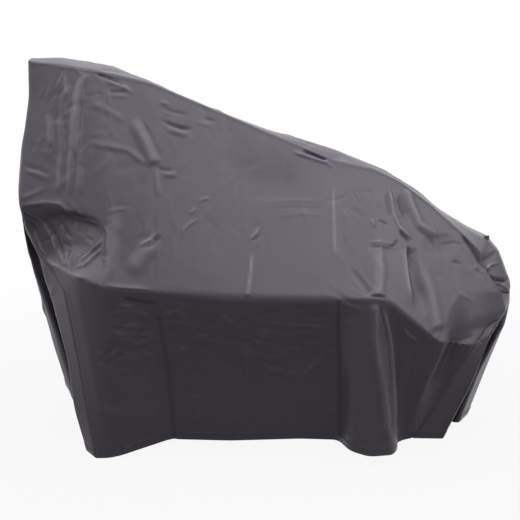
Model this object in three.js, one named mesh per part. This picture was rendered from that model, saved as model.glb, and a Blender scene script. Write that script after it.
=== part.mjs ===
// Fitted cover for an offset smoker: coated cloth draped over the tall stack end on the left, the barrel and
// its front shelf in the middle, and the low fire box on the right. The cover is hollow and open at the hem.
// Millimetres, +X to the right, +Y to the back, +Z up. The origin is the middle of the footprint, at the
// lowest point of the hem.
import * as THREE from 'three';

// ---- Driving sizes ---------------------------------------------------------------------------------------
const CLOTH = 2.0; // thickness of the coated cloth with its turned seams
const SEAM_GAP = 0.3; // clear distance between two panels along the seam that joins them
const FRONT_COLUMNS = 36; // grid columns across the front, the back and the top strip
const DEPTH_COLUMNS = 8; // grid columns from front to back across the side panels and the top strip
const COLUMN_REACH = 0.9; // half width over which neighbouring sections are blended, in columns
const DEPTH_REACH = 0.5; // the same for the side panels
const ROW_REACH = 1.2; // half height over which the levels of one section are blended, in rows
const MITRE_LIMIT = 0.5; // sharpest corner that the mitres follow, as the cosine of its half angle

// Levels of every upright section, from the hem to the top seam. skirtTop and slopeFoot lie close to the
// bend over the shelf edge, so that the bend stays tight. A level without a point of its own lies between
// its low and high neighbours, at its share of the way.
const LEVELS = [
  { name: 'hem', row: 0 },
  { name: 'knee', row: 3, low: 'hem', high: 'skirtTop', share: 0.5 },
  { name: 'skirtTop', row: 6, low: 'hem', high: 'bend', share: 0.93 },
  { name: 'bend', row: 8 },
  { name: 'slopeFoot', row: 10, low: 'bend', high: 'dip', share: 0.3 },
  { name: 'dip', row: 12, low: 'bend', high: 'top', share: 0.2 },
  { name: 'shoulder', row: 15, low: 'bend', high: 'top', share: 0.42 },
  { name: 'neck', row: 20, low: 'shoulder', high: 'top', share: 0.73 },
  { name: 'top', row: 22 },
];
const ROWS = LEVELS[LEVELS.length - 1].row;

// ---- Sections: one row for each upright section, each point is [x, y, z] ---------------------------------
const LEFT_FRONT_SEAM = {
  hem: [-495, -285, 0],
  knee: [-540, -240, 262],
  skirtTop: [-582, -212, 482],
  bend: [-628, -138, 531],
  slopeFoot: [-671, -92, 565],
  dip: [-698, -72, 642],
  shoulder: [-724, -120, 722],
  neck: [-708, 18, 1019],
  top: [-713, 60, 1125],
};
const RIGHT_FRONT_SEAM = {
  hem: [425, -240, 46],
  bend: [607, -215, 325],
  slopeFoot: [649, -173, 360],
  dip: [706, -125, 398],
  shoulder: [690, -112, 457],
  neck: [644, -80, 527],
  top: [642, -60, 563],
};
const LEFT_BACK_SEAM = {
  hem: [-668, 300, 42],
  bend: [-748, 290, 470],
  dip: [-745, 280, 590],
  shoulder: [-735, 270, 700],
  top: [-700, 200, 1085],
};
const RIGHT_BACK_SEAM = {
  hem: [640, 300, 44],
  bend: [705, 285, 330],
  dip: [715, 280, 400],
  shoulder: [708, 275, 460],
  top: [675, 250, 560],
};

const FRONT_SECTIONS = [
  { column: 0, ...LEFT_FRONT_SEAM },
  {
    column: 2, // side of the stack: its shoulder overhangs a short undercut above the shelf
    hem: [-455, -292, 4],
    bend: [-546, -254, 529],
    slopeFoot: [-568, -172, 600],
    dip: [-590, -125, 690],
    shoulder: [-594, -152, 716],
    top: [-616, 50, 1111],
  },
  {
    column: 3.5,
    hem: [-422, -288, 10],
    bend: [-497, -288, 525],
    slopeFoot: [-507, -200, 596],
    dip: [-520, -150, 672],
    shoulder: [-524, -173, 699],
    top: [-564, 50, 1104],
  },
  {
    column: 5, // left corner of the front shelf
    hem: [-389, -280, 19],
    bend: [-446, -306, 510],
    slopeFoot: [-448, -256, 575],
    dip: [-453, -214, 640],
    shoulder: [-458, -190, 684],
    top: [-512, 50, 1096],
  },
  { column: 8, hem: [-283, -240, 43], bend: [-328, -310, 501], top: [-350, 60, 1060] },
  { column: 14, hem: [-108, -245, 40], bend: [-104, -312, 484], top: [-111, 70, 958] },
  { column: 19, hem: [97, -245, 46], bend: [92, -312, 481], top: [101, 50, 870] },
  { column: 22, hem: [208, -252, 45], bend: [199, -312, 481], top: [215, 40, 823] },
  { column: 23.5, hem: [238, -312, 36], bend: [246, -313, 481], top: [262, 36, 815] },
  { column: 25, hem: [290, -345, 30], bend: [292, -318, 482], top: [318, 30, 804] },
  { column: 27, hem: [364, -330, 30], bend: [318, -312, 479], top: [382, 24, 776] },
  { column: 28, hem: [378, -258, 38], bend: [346, -306, 471], top: [417, 18, 756] },
  { column: 30, hem: [398, -245, 42], bend: [409, -303, 418], top: [491, -2, 700] },
  { column: 33, hem: [410, -242, 44], bend: [494, -296, 348], top: [583, -34, 620] },
  { column: 36, ...RIGHT_FRONT_SEAM },
];

const BACK_SECTIONS = [
  { column: 0, ...LEFT_BACK_SEAM },
  { column: 6, hem: [-480, 341, 30], bend: [-492, 338, 520], top: [-500, 215, 1052] },
  { column: 11, hem: [-262, 316, 38], bend: [-258, 332, 500], top: [-290, 240, 1000] },
  { column: 17, hem: [-20, 342, 28], bend: [-10, 339, 455], top: [-10, 270, 895] },
  { column: 23, hem: [216, 314, 42], bend: [226, 334, 470], top: [235, 288, 790] },
  { column: 29, hem: [424, 340, 34], bend: [440, 336, 400], top: [460, 290, 690] },
  { column: 36, ...RIGHT_BACK_SEAM },
];

// The left end turns inward between its front edge and the stack, the right end between its front strip and
// the fire box.
const LEFT_SIDE_SECTIONS = [
  { column: 0, ...LEFT_FRONT_SEAM },
  {
    column: 2, // outer edge of the front strip
    hem: [-538, -242, 4],
    knee: [-587, -190, 272],
    skirtTop: [-641, -130, 450],
    bend: [-657, -112, 490],
    slopeFoot: [-675, -80, 552],
    dip: [-702, -58, 628],
    shoulder: [-731, -55, 716],
    neck: [-710, 52, 1019],
    top: [-714, 85, 1129],
  },
  {
    column: 3, // valley of the tuck
    hem: [-496, -70, 22],
    knee: [-576, -20, 265],
    skirtTop: [-653, 30, 440],
    bend: [-678, 45, 484],
    slopeFoot: [-699, 75, 545],
    dip: [-716, 80, 612],
    shoulder: [-743, 18, 706],
    neck: [-710, 67, 1020],
    top: [-713, 100, 1130],
  },
  {
    column: 4, // outer edge of the rear part
    hem: [-574, -108, 30],
    knee: [-652, -46, 262],
    skirtTop: [-711, 20, 440],
    bend: [-719, 40, 484],
    slopeFoot: [-737, 60, 543],
    dip: [-748, 60, 608],
    shoulder: [-753, 38, 704],
    neck: [-710, 88, 1019],
    top: [-713, 122, 1127],
  },
  {
    column: 5,
    hem: [-594, 80, 40],
    knee: [-645, 94, 242],
    bend: [-726, 110, 474],
    dip: [-752, 120, 600],
    shoulder: [-766, 105, 700],
    neck: [-722, 130, 1008],
    top: [-711, 145, 1120],
  },
  { column: 8, ...LEFT_BACK_SEAM },
];
const RIGHT_SIDE_SECTIONS = [
  { column: 0, ...RIGHT_FRONT_SEAM },
  {
    column: 2, // outer edge of the front strip
    hem: [522, -238, 44],
    knee: [599, -228, 200],
    skirtTop: [650, -202, 325],
    bend: [661, -188, 348],
    slopeFoot: [702, -110, 375],
    dip: [730, -70, 400],
    shoulder: [738, -44, 460],
    neck: [699, -15, 561],
    top: [668, 10, 590],
  },
  {
    column: 3, // valley of the tuck
    hem: [478, -100, 46],
    knee: [562, -70, 196],
    skirtTop: [632, -50, 315],
    bend: [672, -60, 335],
    slopeFoot: [712, -50, 365],
    dip: [738, -25, 397],
    shoulder: [744, 0, 462],
    neck: [708, 28, 558],
    top: [675, 45, 589],
  },
  {
    column: 4, // outer edge of the rear part
    hem: [628, -84, 50],
    knee: [674, -62, 196],
    skirtTop: [730, -34, 314],
    bend: [742, -8, 334],
    dip: [752, 30, 399],
    shoulder: [752, 58, 464],
    neck: [716, 88, 552],
    top: [682, 100, 588],
  },
  { column: 8, ...RIGHT_BACK_SEAM },
];

// Rise of the top strip over the straight line between its two seams, at places across the cover.
const STRIP_CROWN = [
  { column: 0, rise: 0 },
  { column: 2, rise: 32 },
  { column: 4, rise: 34 },
  { column: 6, rise: 42 },
  { column: 8, rise: 19 },
  { column: 10, rise: 7 },
  { column: 14, rise: 4 },
  { column: 17, rise: 8 },
  { column: 19, rise: 22 },
  { column: 22, rise: 36 },
  { column: 25, rise: 20 },
  { column: 28, rise: 6 },
  { column: 30, rise: 5 },
  { column: 33, rise: 13 },
  { column: 36, rise: 0 },
];
const CROWN_PEAK = 0.35; // share of the depth at which the strip is highest
const END_BLEND = 5; // columns over which the strip takes up the shape of a side panel's top edge

// Main folds: straight soft ridges (rise over 0) and troughs (rise under 0). Each runs between two heights
// z, and sideways along x on the front and the back, or along y on the side panels.
const FRONT_FOLDS = [
  { name: 'stack fold', fromSide: -588, fromZ: 1010, toSide: -592, toZ: 700, width: 44, rise: 9 },
  { name: 'shelf corner ridge', fromSide: -446, fromZ: 700, toSide: -452, toZ: 515, width: 40, rise: 18 },
  { name: 'stored crease', fromSide: 207, fromZ: 830, toSide: 202, toZ: 490, width: 40, rise: 7 },
  { name: 'ridge at shelf end', fromSide: 330, fromZ: 670, toSide: 298, toZ: 485, width: 50, rise: 15 },
  { name: 'fire box ridge', fromSide: 380, fromZ: 760, toSide: 450, toZ: 600, width: 46, rise: 12 },
  { name: 'fire box valley', fromSide: 395, fromZ: 610, toSide: 420, toZ: 410, width: 52, rise: -16 },
  { name: 'skirt valley', fromSide: -300, fromZ: 360, toSide: -285, toZ: 10, width: 46, rise: -12 },
];
const BACK_FOLDS = [
  { name: 'stack drape', fromSide: -560, fromZ: 1000, toSide: -600, toZ: 120, width: 75, rise: -13 },
  { name: 'barrel drape', fromSide: -350, fromZ: 960, toSide: -400, toZ: 30, width: 80, rise: 14 },
  { name: 'middle hollow', fromSide: -130, fromZ: 860, toSide: -150, toZ: 20, width: 85, rise: -14 },
  { name: 'middle ridge', fromSide: 120, fromZ: 720, toSide: 90, toZ: 40, width: 75, rise: 12 },
  { name: 'fire box pull', fromSide: 610, fromZ: 470, toSide: 330, toZ: 250, width: 60, rise: 10 },
  { name: 'fire box hollow', fromSide: 520, fromZ: 420, toSide: 540, toZ: 60, width: 65, rise: -14 },
];
const LEFT_SIDE_FOLDS = [
  { name: 'stack side fold', fromSide: 130, fromZ: 1050, toSide: 70, toZ: 640, width: 60, rise: 9 },
  { name: 'rear hollow', fromSide: 230, fromZ: 640, toSide: 190, toZ: 80, width: 80, rise: -14 },
];
const RIGHT_SIDE_FOLDS = [
  { name: 'pucker under the corner', fromSide: 20, fromZ: 580, toSide: 60, toZ: 440, width: 60, rise: -12 },
  { name: 'rear ridge', fromSide: 170, fromZ: 560, toSide: 150, toZ: 80, width: 75, rise: 12 },
];
const FRONT_FACES = new THREE.Vector3(0, -0.85, 0.53);
const BACK_FACES = new THREE.Vector3(0, 1, 0);
const LEFT_FACES = new THREE.Vector3(-1, 0, 0);
const RIGHT_FACES = new THREE.Vector3(1, 0, 0);

// End of the seam allowance that stands up on the seam between the top strip and the right side panel.
const TAB = { step: 2, length: 20, height: 13, thickness: 2.6, taper: 3, corner: 4, gap: 0.3 };

// ---- Finish ----------------------------------------------------------------------------------------------
const PANEL_COLOUR = 0x46434a;
const STRIP_COLOUR = 0x4c4950;
const CLOTH_ROUGHNESS = 0.48;

// ---- Soft tables -----------------------------------------------------------------------------------------
// A table of numbers over increasing places is read as a broken line, and each reading is the mean of that
// line over a short reach to both sides, which turns its corners into soft ones.
function areaUnder(places, values, place) {
  let area = 0;
  for (let i = 1; i < places.length; i++) {
    const start = places[i - 1];
    const end = Math.min(place, places[i]);
    if (end <= start) break;
    const slope = (values[i] - values[i - 1]) / (places[i] - start);
    area += (end - start) * (values[i - 1] + (slope * (end - start)) / 2);
  }
  return area;
}

function readLine(places, values, place) {
  let i = 1;
  while (i < places.length - 1 && place > places[i]) i++;
  const share = (place - places[i - 1]) / (places[i] - places[i - 1]);
  return values[i - 1] + (values[i] - values[i - 1]) * share;
}

function readSoft(places, values, place, reach) {
  const half = Math.min(reach, place - places[0], places[places.length - 1] - place);
  if (half < 1e-6) return readLine(places, values, place);
  const high = areaUnder(places, values, place + half);
  const low = areaUnder(places, values, place - half);
  return (high - low) / (2 * half);
}

function readSoftPoint(places, points, place, reach) {
  const coordinate = (axis) => readSoft(places, points.map((p) => p.getComponent(axis)), place, reach);
  return new THREE.Vector3(coordinate(0), coordinate(1), coordinate(2));
}

// ---- Panels as grids of points ---------------------------------------------------------------------------
function levelPoint(section, level) {
  if (section[level.name]) return new THREE.Vector3(...section[level.name]);
  const neighbour = (name) => levelPoint(section, LEVELS.find((other) => other.name === name));
  return neighbour(level.low).lerp(neighbour(level.high), level.share);
}

function sectionProfile(section) {
  const places = LEVELS.map((level) => level.row);
  const points = LEVELS.map((level) => levelPoint(section, level));
  return Array.from({ length: ROWS + 1 }, (_, row) => readSoftPoint(places, points, row, ROW_REACH));
}

// grid[column][row] of one upright panel
function uprightGrid(sections, columns, reach) {
  const places = sections.map((section) => section.column);
  const profiles = sections.map(sectionProfile);
  return Array.from({ length: columns + 1 }, (_, column) =>
    Array.from({ length: ROWS + 1 }, (_, row) =>
      readSoftPoint(places, profiles.map((profile) => profile[row]), column, reach)));
}

function foldRise(fold, side, z) {
  const from = new THREE.Vector2(fold.fromSide, fold.fromZ);
  const run = new THREE.Vector2(fold.toSide, fold.toZ).sub(from);
  const offset = new THREE.Vector2(side, z).sub(from);
  const along = offset.dot(run) / run.lengthSq();
  const across = Math.abs(offset.cross(run)) / run.length() / fold.width;
  if (along <= 0 || along >= 1 || across >= 1) return 0;
  return fold.rise * Math.sqrt(Math.sin(Math.PI * along)) * (1 - across * across) ** 2;
}

// Lifts a panel along its folds, and leaves its seams where they are.
function addFolds(grid, folds, sideAxis, direction) {
  for (const column of grid.slice(1, -1)) {
    for (const point of column.slice(0, -1)) {
      const rises = folds.map((fold) => foldRise(fold, point[sideAxis], point.z));
      point.addScaledVector(direction, rises.reduce((sum, rise) => sum + rise, 0));
    }
  }
}

// The strip is ruled between the two top seams, crowned, and led into the top edges of the side panels.
function stripGrid(front, back, leftSide, rightSide) {
  const crownPlaces = STRIP_CROWN.map((entry) => entry.column);
  const crownRises = STRIP_CROWN.map((entry) => entry.rise);
  return front.map((frontColumn, column) =>
    Array.from({ length: DEPTH_COLUMNS + 1 }, (_, step) => {
      const share = step / DEPTH_COLUMNS;
      const ruled = (i) => front[i][ROWS].clone().lerp(back[i][ROWS], share);
      const point = ruled(column);
      const hump = share < CROWN_PEAK
        ? Math.sin((Math.PI / 2) * (share / CROWN_PEAK))
        : Math.cos((Math.PI / 2) * ((share - CROWN_PEAK) / (1 - CROWN_PEAK)));
      point.z += readSoft(crownPlaces, crownRises, column, COLUMN_REACH) * hump;
      const leadIn = (side, end) => {
        const weight = Math.max(0, 1 - Math.abs(column - end) / END_BLEND) ** 2;
        point.addScaledVector(side[step][ROWS].clone().sub(ruled(end)), weight);
      };
      leadIn(leftSide, 0);
      leadIn(rightSide, FRONT_COLUMNS);
      return point;
    }));
}

// ---- From grids to cloth ---------------------------------------------------------------------------------
const spotKey = (point) => point.toArray().map((value) => value.toFixed(3)).join(' ');

// Normals shared by all panels: where panels meet, the inner faces meet on one mitre.
function sharedNormals(panels) {
  const faces = new Map();
  const gather = (point, normal) => {
    const key = spotKey(point);
    if (!faces.has(key)) faces.set(key, []);
    faces.get(key).push(normal);
  };
  for (const { grid } of panels) {
    for (let i = 0; i < grid.length - 1; i++) {
      for (let j = 0; j < grid[0].length - 1; j++) {
        const corners = [grid[i][j], grid[i + 1][j], grid[i + 1][j + 1], grid[i][j + 1]];
        const rising = corners[2].clone().sub(corners[0]);
        const falling = corners[3].clone().sub(corners[1]);
        const normal = rising.cross(falling).normalize();
        for (const corner of corners) gather(corner, normal);
      }
    }
  }
  return faces;
}

// The mean normal at a point, and how far the faces around it lean away from that mean.
function mitreAt(faces, point) {
  const around = faces.get(spotKey(point));
  const mean = around.reduce((sum, normal) => sum.add(normal), new THREE.Vector3()).normalize();
  const spread = around.reduce((sum, normal) => sum + normal.dot(mean), 0) / around.length;
  return { mean, spread: Math.max(spread, MITRE_LIMIT) };
}

function inwardStep(faces, point) {
  const { mean, spread } = mitreAt(faces, point);
  return mean.multiplyScalar(-CLOTH / spread);
}

// Step that takes a sewn edge back into its panel, so that the mitred faces stand SEAM_GAP apart.
function seamStep(faces, edge, inner) {
  return inner.clone().sub(edge).setLength(SEAM_GAP / 2 / mitreAt(faces, edge).spread);
}

function seamSteps(grid, sewn, faces) {
  const steps = grid.map((column) => column.map(() => new THREE.Vector3()));
  const lastColumn = grid.length - 1;
  const lastRow = grid[0].length - 1;
  for (let j = 0; j <= lastRow; j++) {
    if (sewn.start) steps[0][j].add(seamStep(faces, grid[0][j], grid[1][j]));
    if (sewn.end) steps[lastColumn][j].add(seamStep(faces, grid[lastColumn][j], grid[lastColumn - 1][j]));
  }
  for (let i = 0; i <= lastColumn; i++) {
    if (sewn.low) steps[i][0].add(seamStep(faces, grid[i][0], grid[i][1]));
    if (sewn.high) steps[i][lastRow].add(seamStep(faces, grid[i][lastRow], grid[i][lastRow - 1]));
  }
  return steps;
}

// A closed sheet: the outer layer, the inner layer and the rim between them.
function sheetGeometry(outer, inner) {
  const columns = outer.length;
  const rows = outer[0].length;
  const points = [...outer.flat(), ...inner.flat()];
  const index = [];
  const endColumn = columns - 1;
  const outerAt = (i, j) => i * rows + j;
  const innerAt = (i, j) => columns * rows + i * rows + j;
  const quad = (a, b, c, d) => index.push(a, b, c, a, c, d);
  for (let i = 0; i < endColumn; i++) {
    for (let j = 0; j < rows - 1; j++) {
      quad(outerAt(i, j), outerAt(i + 1, j), outerAt(i + 1, j + 1), outerAt(i, j + 1));
      quad(innerAt(i, j), innerAt(i, j + 1), innerAt(i + 1, j + 1), innerAt(i + 1, j));
    }
    quad(outerAt(i, 0), innerAt(i, 0), innerAt(i + 1, 0), outerAt(i + 1, 0));
    quad(outerAt(i + 1, rows - 1), innerAt(i + 1, rows - 1), innerAt(i, rows - 1), outerAt(i, rows - 1));
  }
  for (let j = 0; j < rows - 1; j++) {
    quad(outerAt(0, j + 1), innerAt(0, j + 1), innerAt(0, j), outerAt(0, j));
    quad(outerAt(endColumn, j), innerAt(endColumn, j), innerAt(endColumn, j + 1), outerAt(endColumn, j + 1));
  }
  const geometry = new THREE.BufferGeometry();
  geometry.setAttribute('position', new THREE.Float32BufferAttribute(points.flatMap((p) => p.toArray()), 3));
  geometry.setIndex(index);
  return geometry;
}

function clothMaterial(colour) {
  return new THREE.MeshStandardMaterial({ color: colour, roughness: CLOTH_ROUGHNESS, metalness: 0 });
}

function panelMesh(panel, faces) {
  const steps = seamSteps(panel.grid, panel.sewn, faces);
  const outer = panel.grid.map((column, i) => column.map((point, j) => point.clone().add(steps[i][j])));
  const inner = panel.grid.map((column, i) =>
    column.map((point, j) => outer[i][j].clone().add(inwardStep(faces, point))));
  const geometry = sheetGeometry(outer, inner);
  const mesh = new THREE.Mesh(geometry, clothMaterial(panel.colour));
  mesh.name = panel.name;
  return mesh;
}

// The tab stands across one straight stretch of the seam, in line with the mitre of the two panels.
function tabMesh(rightSide, faces) {
  const start = rightSide[TAB.step][ROWS];
  const end = rightSide[TAB.step + 1][ROWS];
  const middle = start.clone().lerp(end, 0.5);
  const along = end.clone().sub(start).normalize();
  const out = inwardStep(faces, start).add(inwardStep(faces, end)).negate();
  out.addScaledVector(along, -out.dot(along)).normalize();
  const half = TAB.length / 2;
  const tip = half - TAB.taper;
  const outline = new THREE.Shape();
  outline.moveTo(-half, 0);
  outline.lineTo(half, 0);
  outline.lineTo(tip, TAB.height - TAB.corner);
  outline.quadraticCurveTo(tip, TAB.height, tip - TAB.corner, TAB.height);
  outline.lineTo(TAB.corner - tip, TAB.height);
  outline.quadraticCurveTo(-tip, TAB.height, -tip, TAB.height - TAB.corner);
  const geometry = new THREE.ExtrudeGeometry(outline, {
    depth: TAB.thickness,
    bevelEnabled: false,
    curveSegments: 4,
  });
  geometry.translate(0, 0, -TAB.thickness / 2);
  const across = new THREE.Vector3().crossVectors(along, out);
  const place = new THREE.Matrix4().makeBasis(across, out, along.negate());
  place.setPosition(middle.addScaledVector(out, TAB.gap));
  geometry.applyMatrix4(place);
  const mesh = new THREE.Mesh(geometry, clothMaterial(STRIP_COLOUR));
  mesh.name = 'corner_seam_tab';
  return mesh;
}

// ---- The cover -------------------------------------------------------------------------------------------
const upright = { start: true, end: true, low: false, high: true };
const sewnAllRound = { start: true, end: true, low: true, high: true };

// A grid read from its far end, so that its faces point the other way.
const turned = (grid) => grid.slice().reverse();

function coverPanels() {
  const front = uprightGrid(FRONT_SECTIONS, FRONT_COLUMNS, COLUMN_REACH);
  const back = uprightGrid(BACK_SECTIONS, FRONT_COLUMNS, COLUMN_REACH);
  const leftSide = uprightGrid(LEFT_SIDE_SECTIONS, DEPTH_COLUMNS, DEPTH_REACH);
  const rightSide = uprightGrid(RIGHT_SIDE_SECTIONS, DEPTH_COLUMNS, DEPTH_REACH);
  const strip = stripGrid(front, back, leftSide, rightSide);
  addFolds(front, FRONT_FOLDS, 'x', FRONT_FACES);
  addFolds(back, BACK_FOLDS, 'x', BACK_FACES);
  addFolds(leftSide, LEFT_SIDE_FOLDS, 'y', LEFT_FACES);
  addFolds(rightSide, RIGHT_SIDE_FOLDS, 'y', RIGHT_FACES);
  return [
    { name: 'front_panel', grid: front, sewn: upright, colour: PANEL_COLOUR },
    { name: 'back_panel', grid: turned(back), sewn: upright, colour: PANEL_COLOUR },
    { name: 'left_side_panel', grid: turned(leftSide), sewn: upright, colour: PANEL_COLOUR },
    { name: 'right_side_panel', grid: rightSide, sewn: upright, colour: PANEL_COLOUR },
    { name: 'top_strip', grid: strip, sewn: sewnAllRound, colour: STRIP_COLOUR },
  ];
}

const cover = new THREE.Group();
const panels = coverPanels();
const faces = sharedNormals(panels);
for (const panel of panels) cover.add(panelMesh(panel, faces));
const rightSide = panels.find((panel) => panel.name === 'right_side_panel').grid;
cover.add(tabMesh(rightSide, faces));

export default cover;
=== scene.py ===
"""Fitted cover for an offset smoker, sewn from coated cloth and dressed for looks.

The cover is high over the stack at its left end, slopes down along the barrel to the low fire box on the
right, and breaks over the smoker's front shelf. The smoker is left out. Five panels and one small seam tab
make the cover: front, back, left side, right side and the strip along the top. Everything is in metres, in
the frame of the CAD model: +X to the right, +Y to the back, +Z up.
"""
import logging
import math
from dataclasses import dataclass, field, replace
from enum import Enum
from typing import Iterator, Sequence

import bpy
import numpy as np
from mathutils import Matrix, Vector


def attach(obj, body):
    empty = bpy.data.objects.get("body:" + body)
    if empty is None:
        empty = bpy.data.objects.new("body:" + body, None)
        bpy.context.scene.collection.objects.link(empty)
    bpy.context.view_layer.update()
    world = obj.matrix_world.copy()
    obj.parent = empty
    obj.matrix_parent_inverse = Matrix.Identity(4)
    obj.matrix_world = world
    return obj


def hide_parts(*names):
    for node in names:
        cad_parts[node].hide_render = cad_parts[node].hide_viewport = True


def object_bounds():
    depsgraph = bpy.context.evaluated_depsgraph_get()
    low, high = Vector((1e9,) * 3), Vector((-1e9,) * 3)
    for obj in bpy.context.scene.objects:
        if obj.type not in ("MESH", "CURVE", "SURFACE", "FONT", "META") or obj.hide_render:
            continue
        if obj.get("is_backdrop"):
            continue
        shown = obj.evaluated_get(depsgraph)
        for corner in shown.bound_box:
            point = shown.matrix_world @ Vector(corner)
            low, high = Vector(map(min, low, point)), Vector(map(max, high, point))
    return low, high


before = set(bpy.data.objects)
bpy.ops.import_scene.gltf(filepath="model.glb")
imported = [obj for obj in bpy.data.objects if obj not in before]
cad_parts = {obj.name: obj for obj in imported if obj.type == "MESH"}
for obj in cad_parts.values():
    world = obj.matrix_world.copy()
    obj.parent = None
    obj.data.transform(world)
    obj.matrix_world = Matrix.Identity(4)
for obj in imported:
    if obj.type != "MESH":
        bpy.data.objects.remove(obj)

LOG = logging.getLogger("smoker_cover")

Point = tuple[float, float, float]
Spot = tuple[float, float]
Socket = bpy.types.NodeSocket

# ---- Driving sizes ---------------------------------------------------------------------------------------
CLOTH = 0.0018  # thickness of the cloth, with its coating
SEAM_GAP = 0.0002  # clear distance between two panels along their seam
SEAM_SINK = 0.0016  # how far the cloth is drawn in where it is sewn
SEAM_ROUND = 0.007  # distance over which it comes back out
HEM_HEIGHT = 0.022  # width of the turned hem
HEM_RISE = 0.0009  # how far the turned hem stands out
MITRE_LIMIT = 0.5  # sharpest corner that the mitres follow, as the cosine of its half angle
FRONT_COLUMNS = 36  # table columns across the front, the back and the top strip
SIDE_COLUMNS = 8  # table columns from front to back across the side panels
FRONT_STEPS = ((0, 8, 14), (8, 22, 8), (22, 36, 10))  # first column, last column, grid steps to one column
SIDE_STEPS = ((0, 4, 14), (4, 8, 9))  # the same for the side panels
ROW_STEPS = ((0, 3, 7), (3, 6, 12), (6, 10, 8), (10, 22, 10))  # the same for the rows, from the hem up
SEAM_STEPS = (0.03, 0.08, 0.15)  # extra grid lines close to a seam, in table columns or rows
HEM_STEPS = (0.02, 0.06, 0.28, 0.32, 0.36)  # extra grid lines at the hem, in table rows
INNER_STEP = 3  # grid steps of the outer face to one of the inner face
FRONT_REACH = 0.5  # half width over which the sections of a wide panel are blended, in columns
SIDE_REACH = 0.22  # the same for the side panels
ROW_REACH = 0.4  # half height over which the levels of one section are blended, in rows
SOFT_BEND = 1.1  # the same where the bend is rounder
LEAST_REACH = 1e-6  # least half width of a soft reading, at the ends of a table
LEAST_LENGTH = 1e-12  # length under which a step has no direction
TABLE_DIGITS = 4  # decimals that tell two grid lines apart
MEETING_DIGITS = 5  # decimals that tell two points on the panels' rims apart
FULL_MARK_RISE = 0.005  # crease rise at which the pale mark (stress-whitened coating and painted highlight) and the painted shade are full
CREASE_CALM = 0.007  # distance from a seam over which creases die out
LAP_FLANK = 0.3  # width of the steep flank of a lap, as a share of its gentle one
SHARP_FALL = 1.8  # power by which the flanks of a sharp crease fall away
MARK_GROWTH = 1.5  # power by which the pale mark and the painted shade grow with the rise of a crease
SOFT_MARK = 0.35  # pale mark and painted shade of a soft crease, as a share of those of a sharp one


# ---- Soft tables -----------------------------------------------------------------------------------------
@dataclass(frozen=True)
class SoftTable:
    """Values over increasing places, read as a broken line whose corners are softened.

    Each reading is the mean of the broken line over a short reach to both sides.
    """

    places: np.ndarray
    values: np.ndarray

    def _area_under(self, at: np.ndarray) -> np.ndarray:
        """Integral of the broken line from its start to each place.

        Args:
            at: places inside the table.
        Returns:
            One row of integrals for each place.
        """
        runs = np.diff(self.places)[:, None]
        areas = (self.values[1:] + self.values[:-1]) / 2 * runs
        totals = np.vstack([np.zeros_like(self.values[:1]), np.cumsum(areas, axis=0)])
        i = np.clip(np.searchsorted(self.places, at, side="right") - 1, 0, len(self.places) - 2)
        run = (at - self.places[i])[:, None]
        slope = (self.values[i + 1] - self.values[i]) / (self.places[i + 1] - self.places[i])[:, None]
        return totals[i] + self.values[i] * run + slope * run**2 / 2

    def read(self, at: np.ndarray, reach: float) -> np.ndarray:
        """Soft readings.

        Args:
            at: places inside the table.
            reach: half width of the mean.
        Returns:
            One row of values for each place.
        """
        half = np.minimum(reach, np.minimum(at - self.places[0], self.places[-1] - at))
        wide = np.maximum(half, LEAST_REACH)
        low = np.clip(at - wide, self.places[0], self.places[-1])
        high = np.clip(at + wide, self.places[0], self.places[-1])
        return (self._area_under(high) - self._area_under(low)) / (high - low)[:, None]


@dataclass(frozen=True)
class Level:
    """One level of every upright section; without a point of its own it lies between two others."""

    name: str
    row: float
    low: str = ""
    high: str = ""
    share: float = 0.0


LEVELS = (
    Level("hem", 0),
    Level("shin", 1.5, "hem", "knee", 0.5),
    Level("knee", 3, "hem", "skirt_top", 0.5),
    Level("skirt_top", 6, "hem", "bend", 0.93),
    Level("bend", 8),
    Level("lip", 10, "bend", "dip", 0.3),
    Level("dip", 12, "bend", "top", 0.2),
    Level("shoulder", 15, "bend", "top", 0.42),
    Level("chest", 17.5, "shoulder", "neck", 0.5),
    Level("neck", 20, "shoulder", "top", 0.73),
    Level("top", 22),
)
LAST_ROW = LEVELS[-1].row


@dataclass(frozen=True)
class Section:
    """One upright section through the cover, from its hem to its top seam."""

    column: float
    hem: Point
    bend: Point
    top: Point
    shin: Point | None = None
    knee: Point | None = None
    skirt_top: Point | None = None
    lip: Point | None = None
    dip: Point | None = None
    shoulder: Point | None = None
    chest: Point | None = None
    neck: Point | None = None
    reach: float = ROW_REACH

    def at(self, name: str) -> np.ndarray:
        """The section's point at a named level.

        Args:
            name: the level's name.
        Returns:
            Its own point there, or one between the two levels on which it depends.
        """
        own = getattr(self, name, None)
        if own is not None:
            return np.array(own)
        level = next(level for level in LEVELS if level.name == name)
        return self.at(level.low) * (1 - level.share) + self.at(level.high) * level.share

    def profile(self, rows: np.ndarray) -> np.ndarray:
        """Soft readings of the section, one point for each row."""
        places = np.array([float(level.row) for level in LEVELS])
        return SoftTable(places, np.array([self.at(level.name) for level in LEVELS])).read(rows, self.reach)

    def moved_to(self, column: float) -> "Section":
        """The same section at another column, as where two panels share a seam."""
        return replace(self, column=column)


# ---- Creases ---------------------------------------------------------------------------------------------
class Fold(Enum):
    """How a crease looks across its line."""

    ROUND = "soft on both sides"
    SHARP = "a crease line with straight flanks"
    LAP = "gentle on its left side and steep on its right, seen along its path"


def eased(share: np.ndarray) -> np.ndarray:
    """A share from 0 to 1 that starts and ends gently."""
    return share**2 * (3 - 2 * share)


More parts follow.
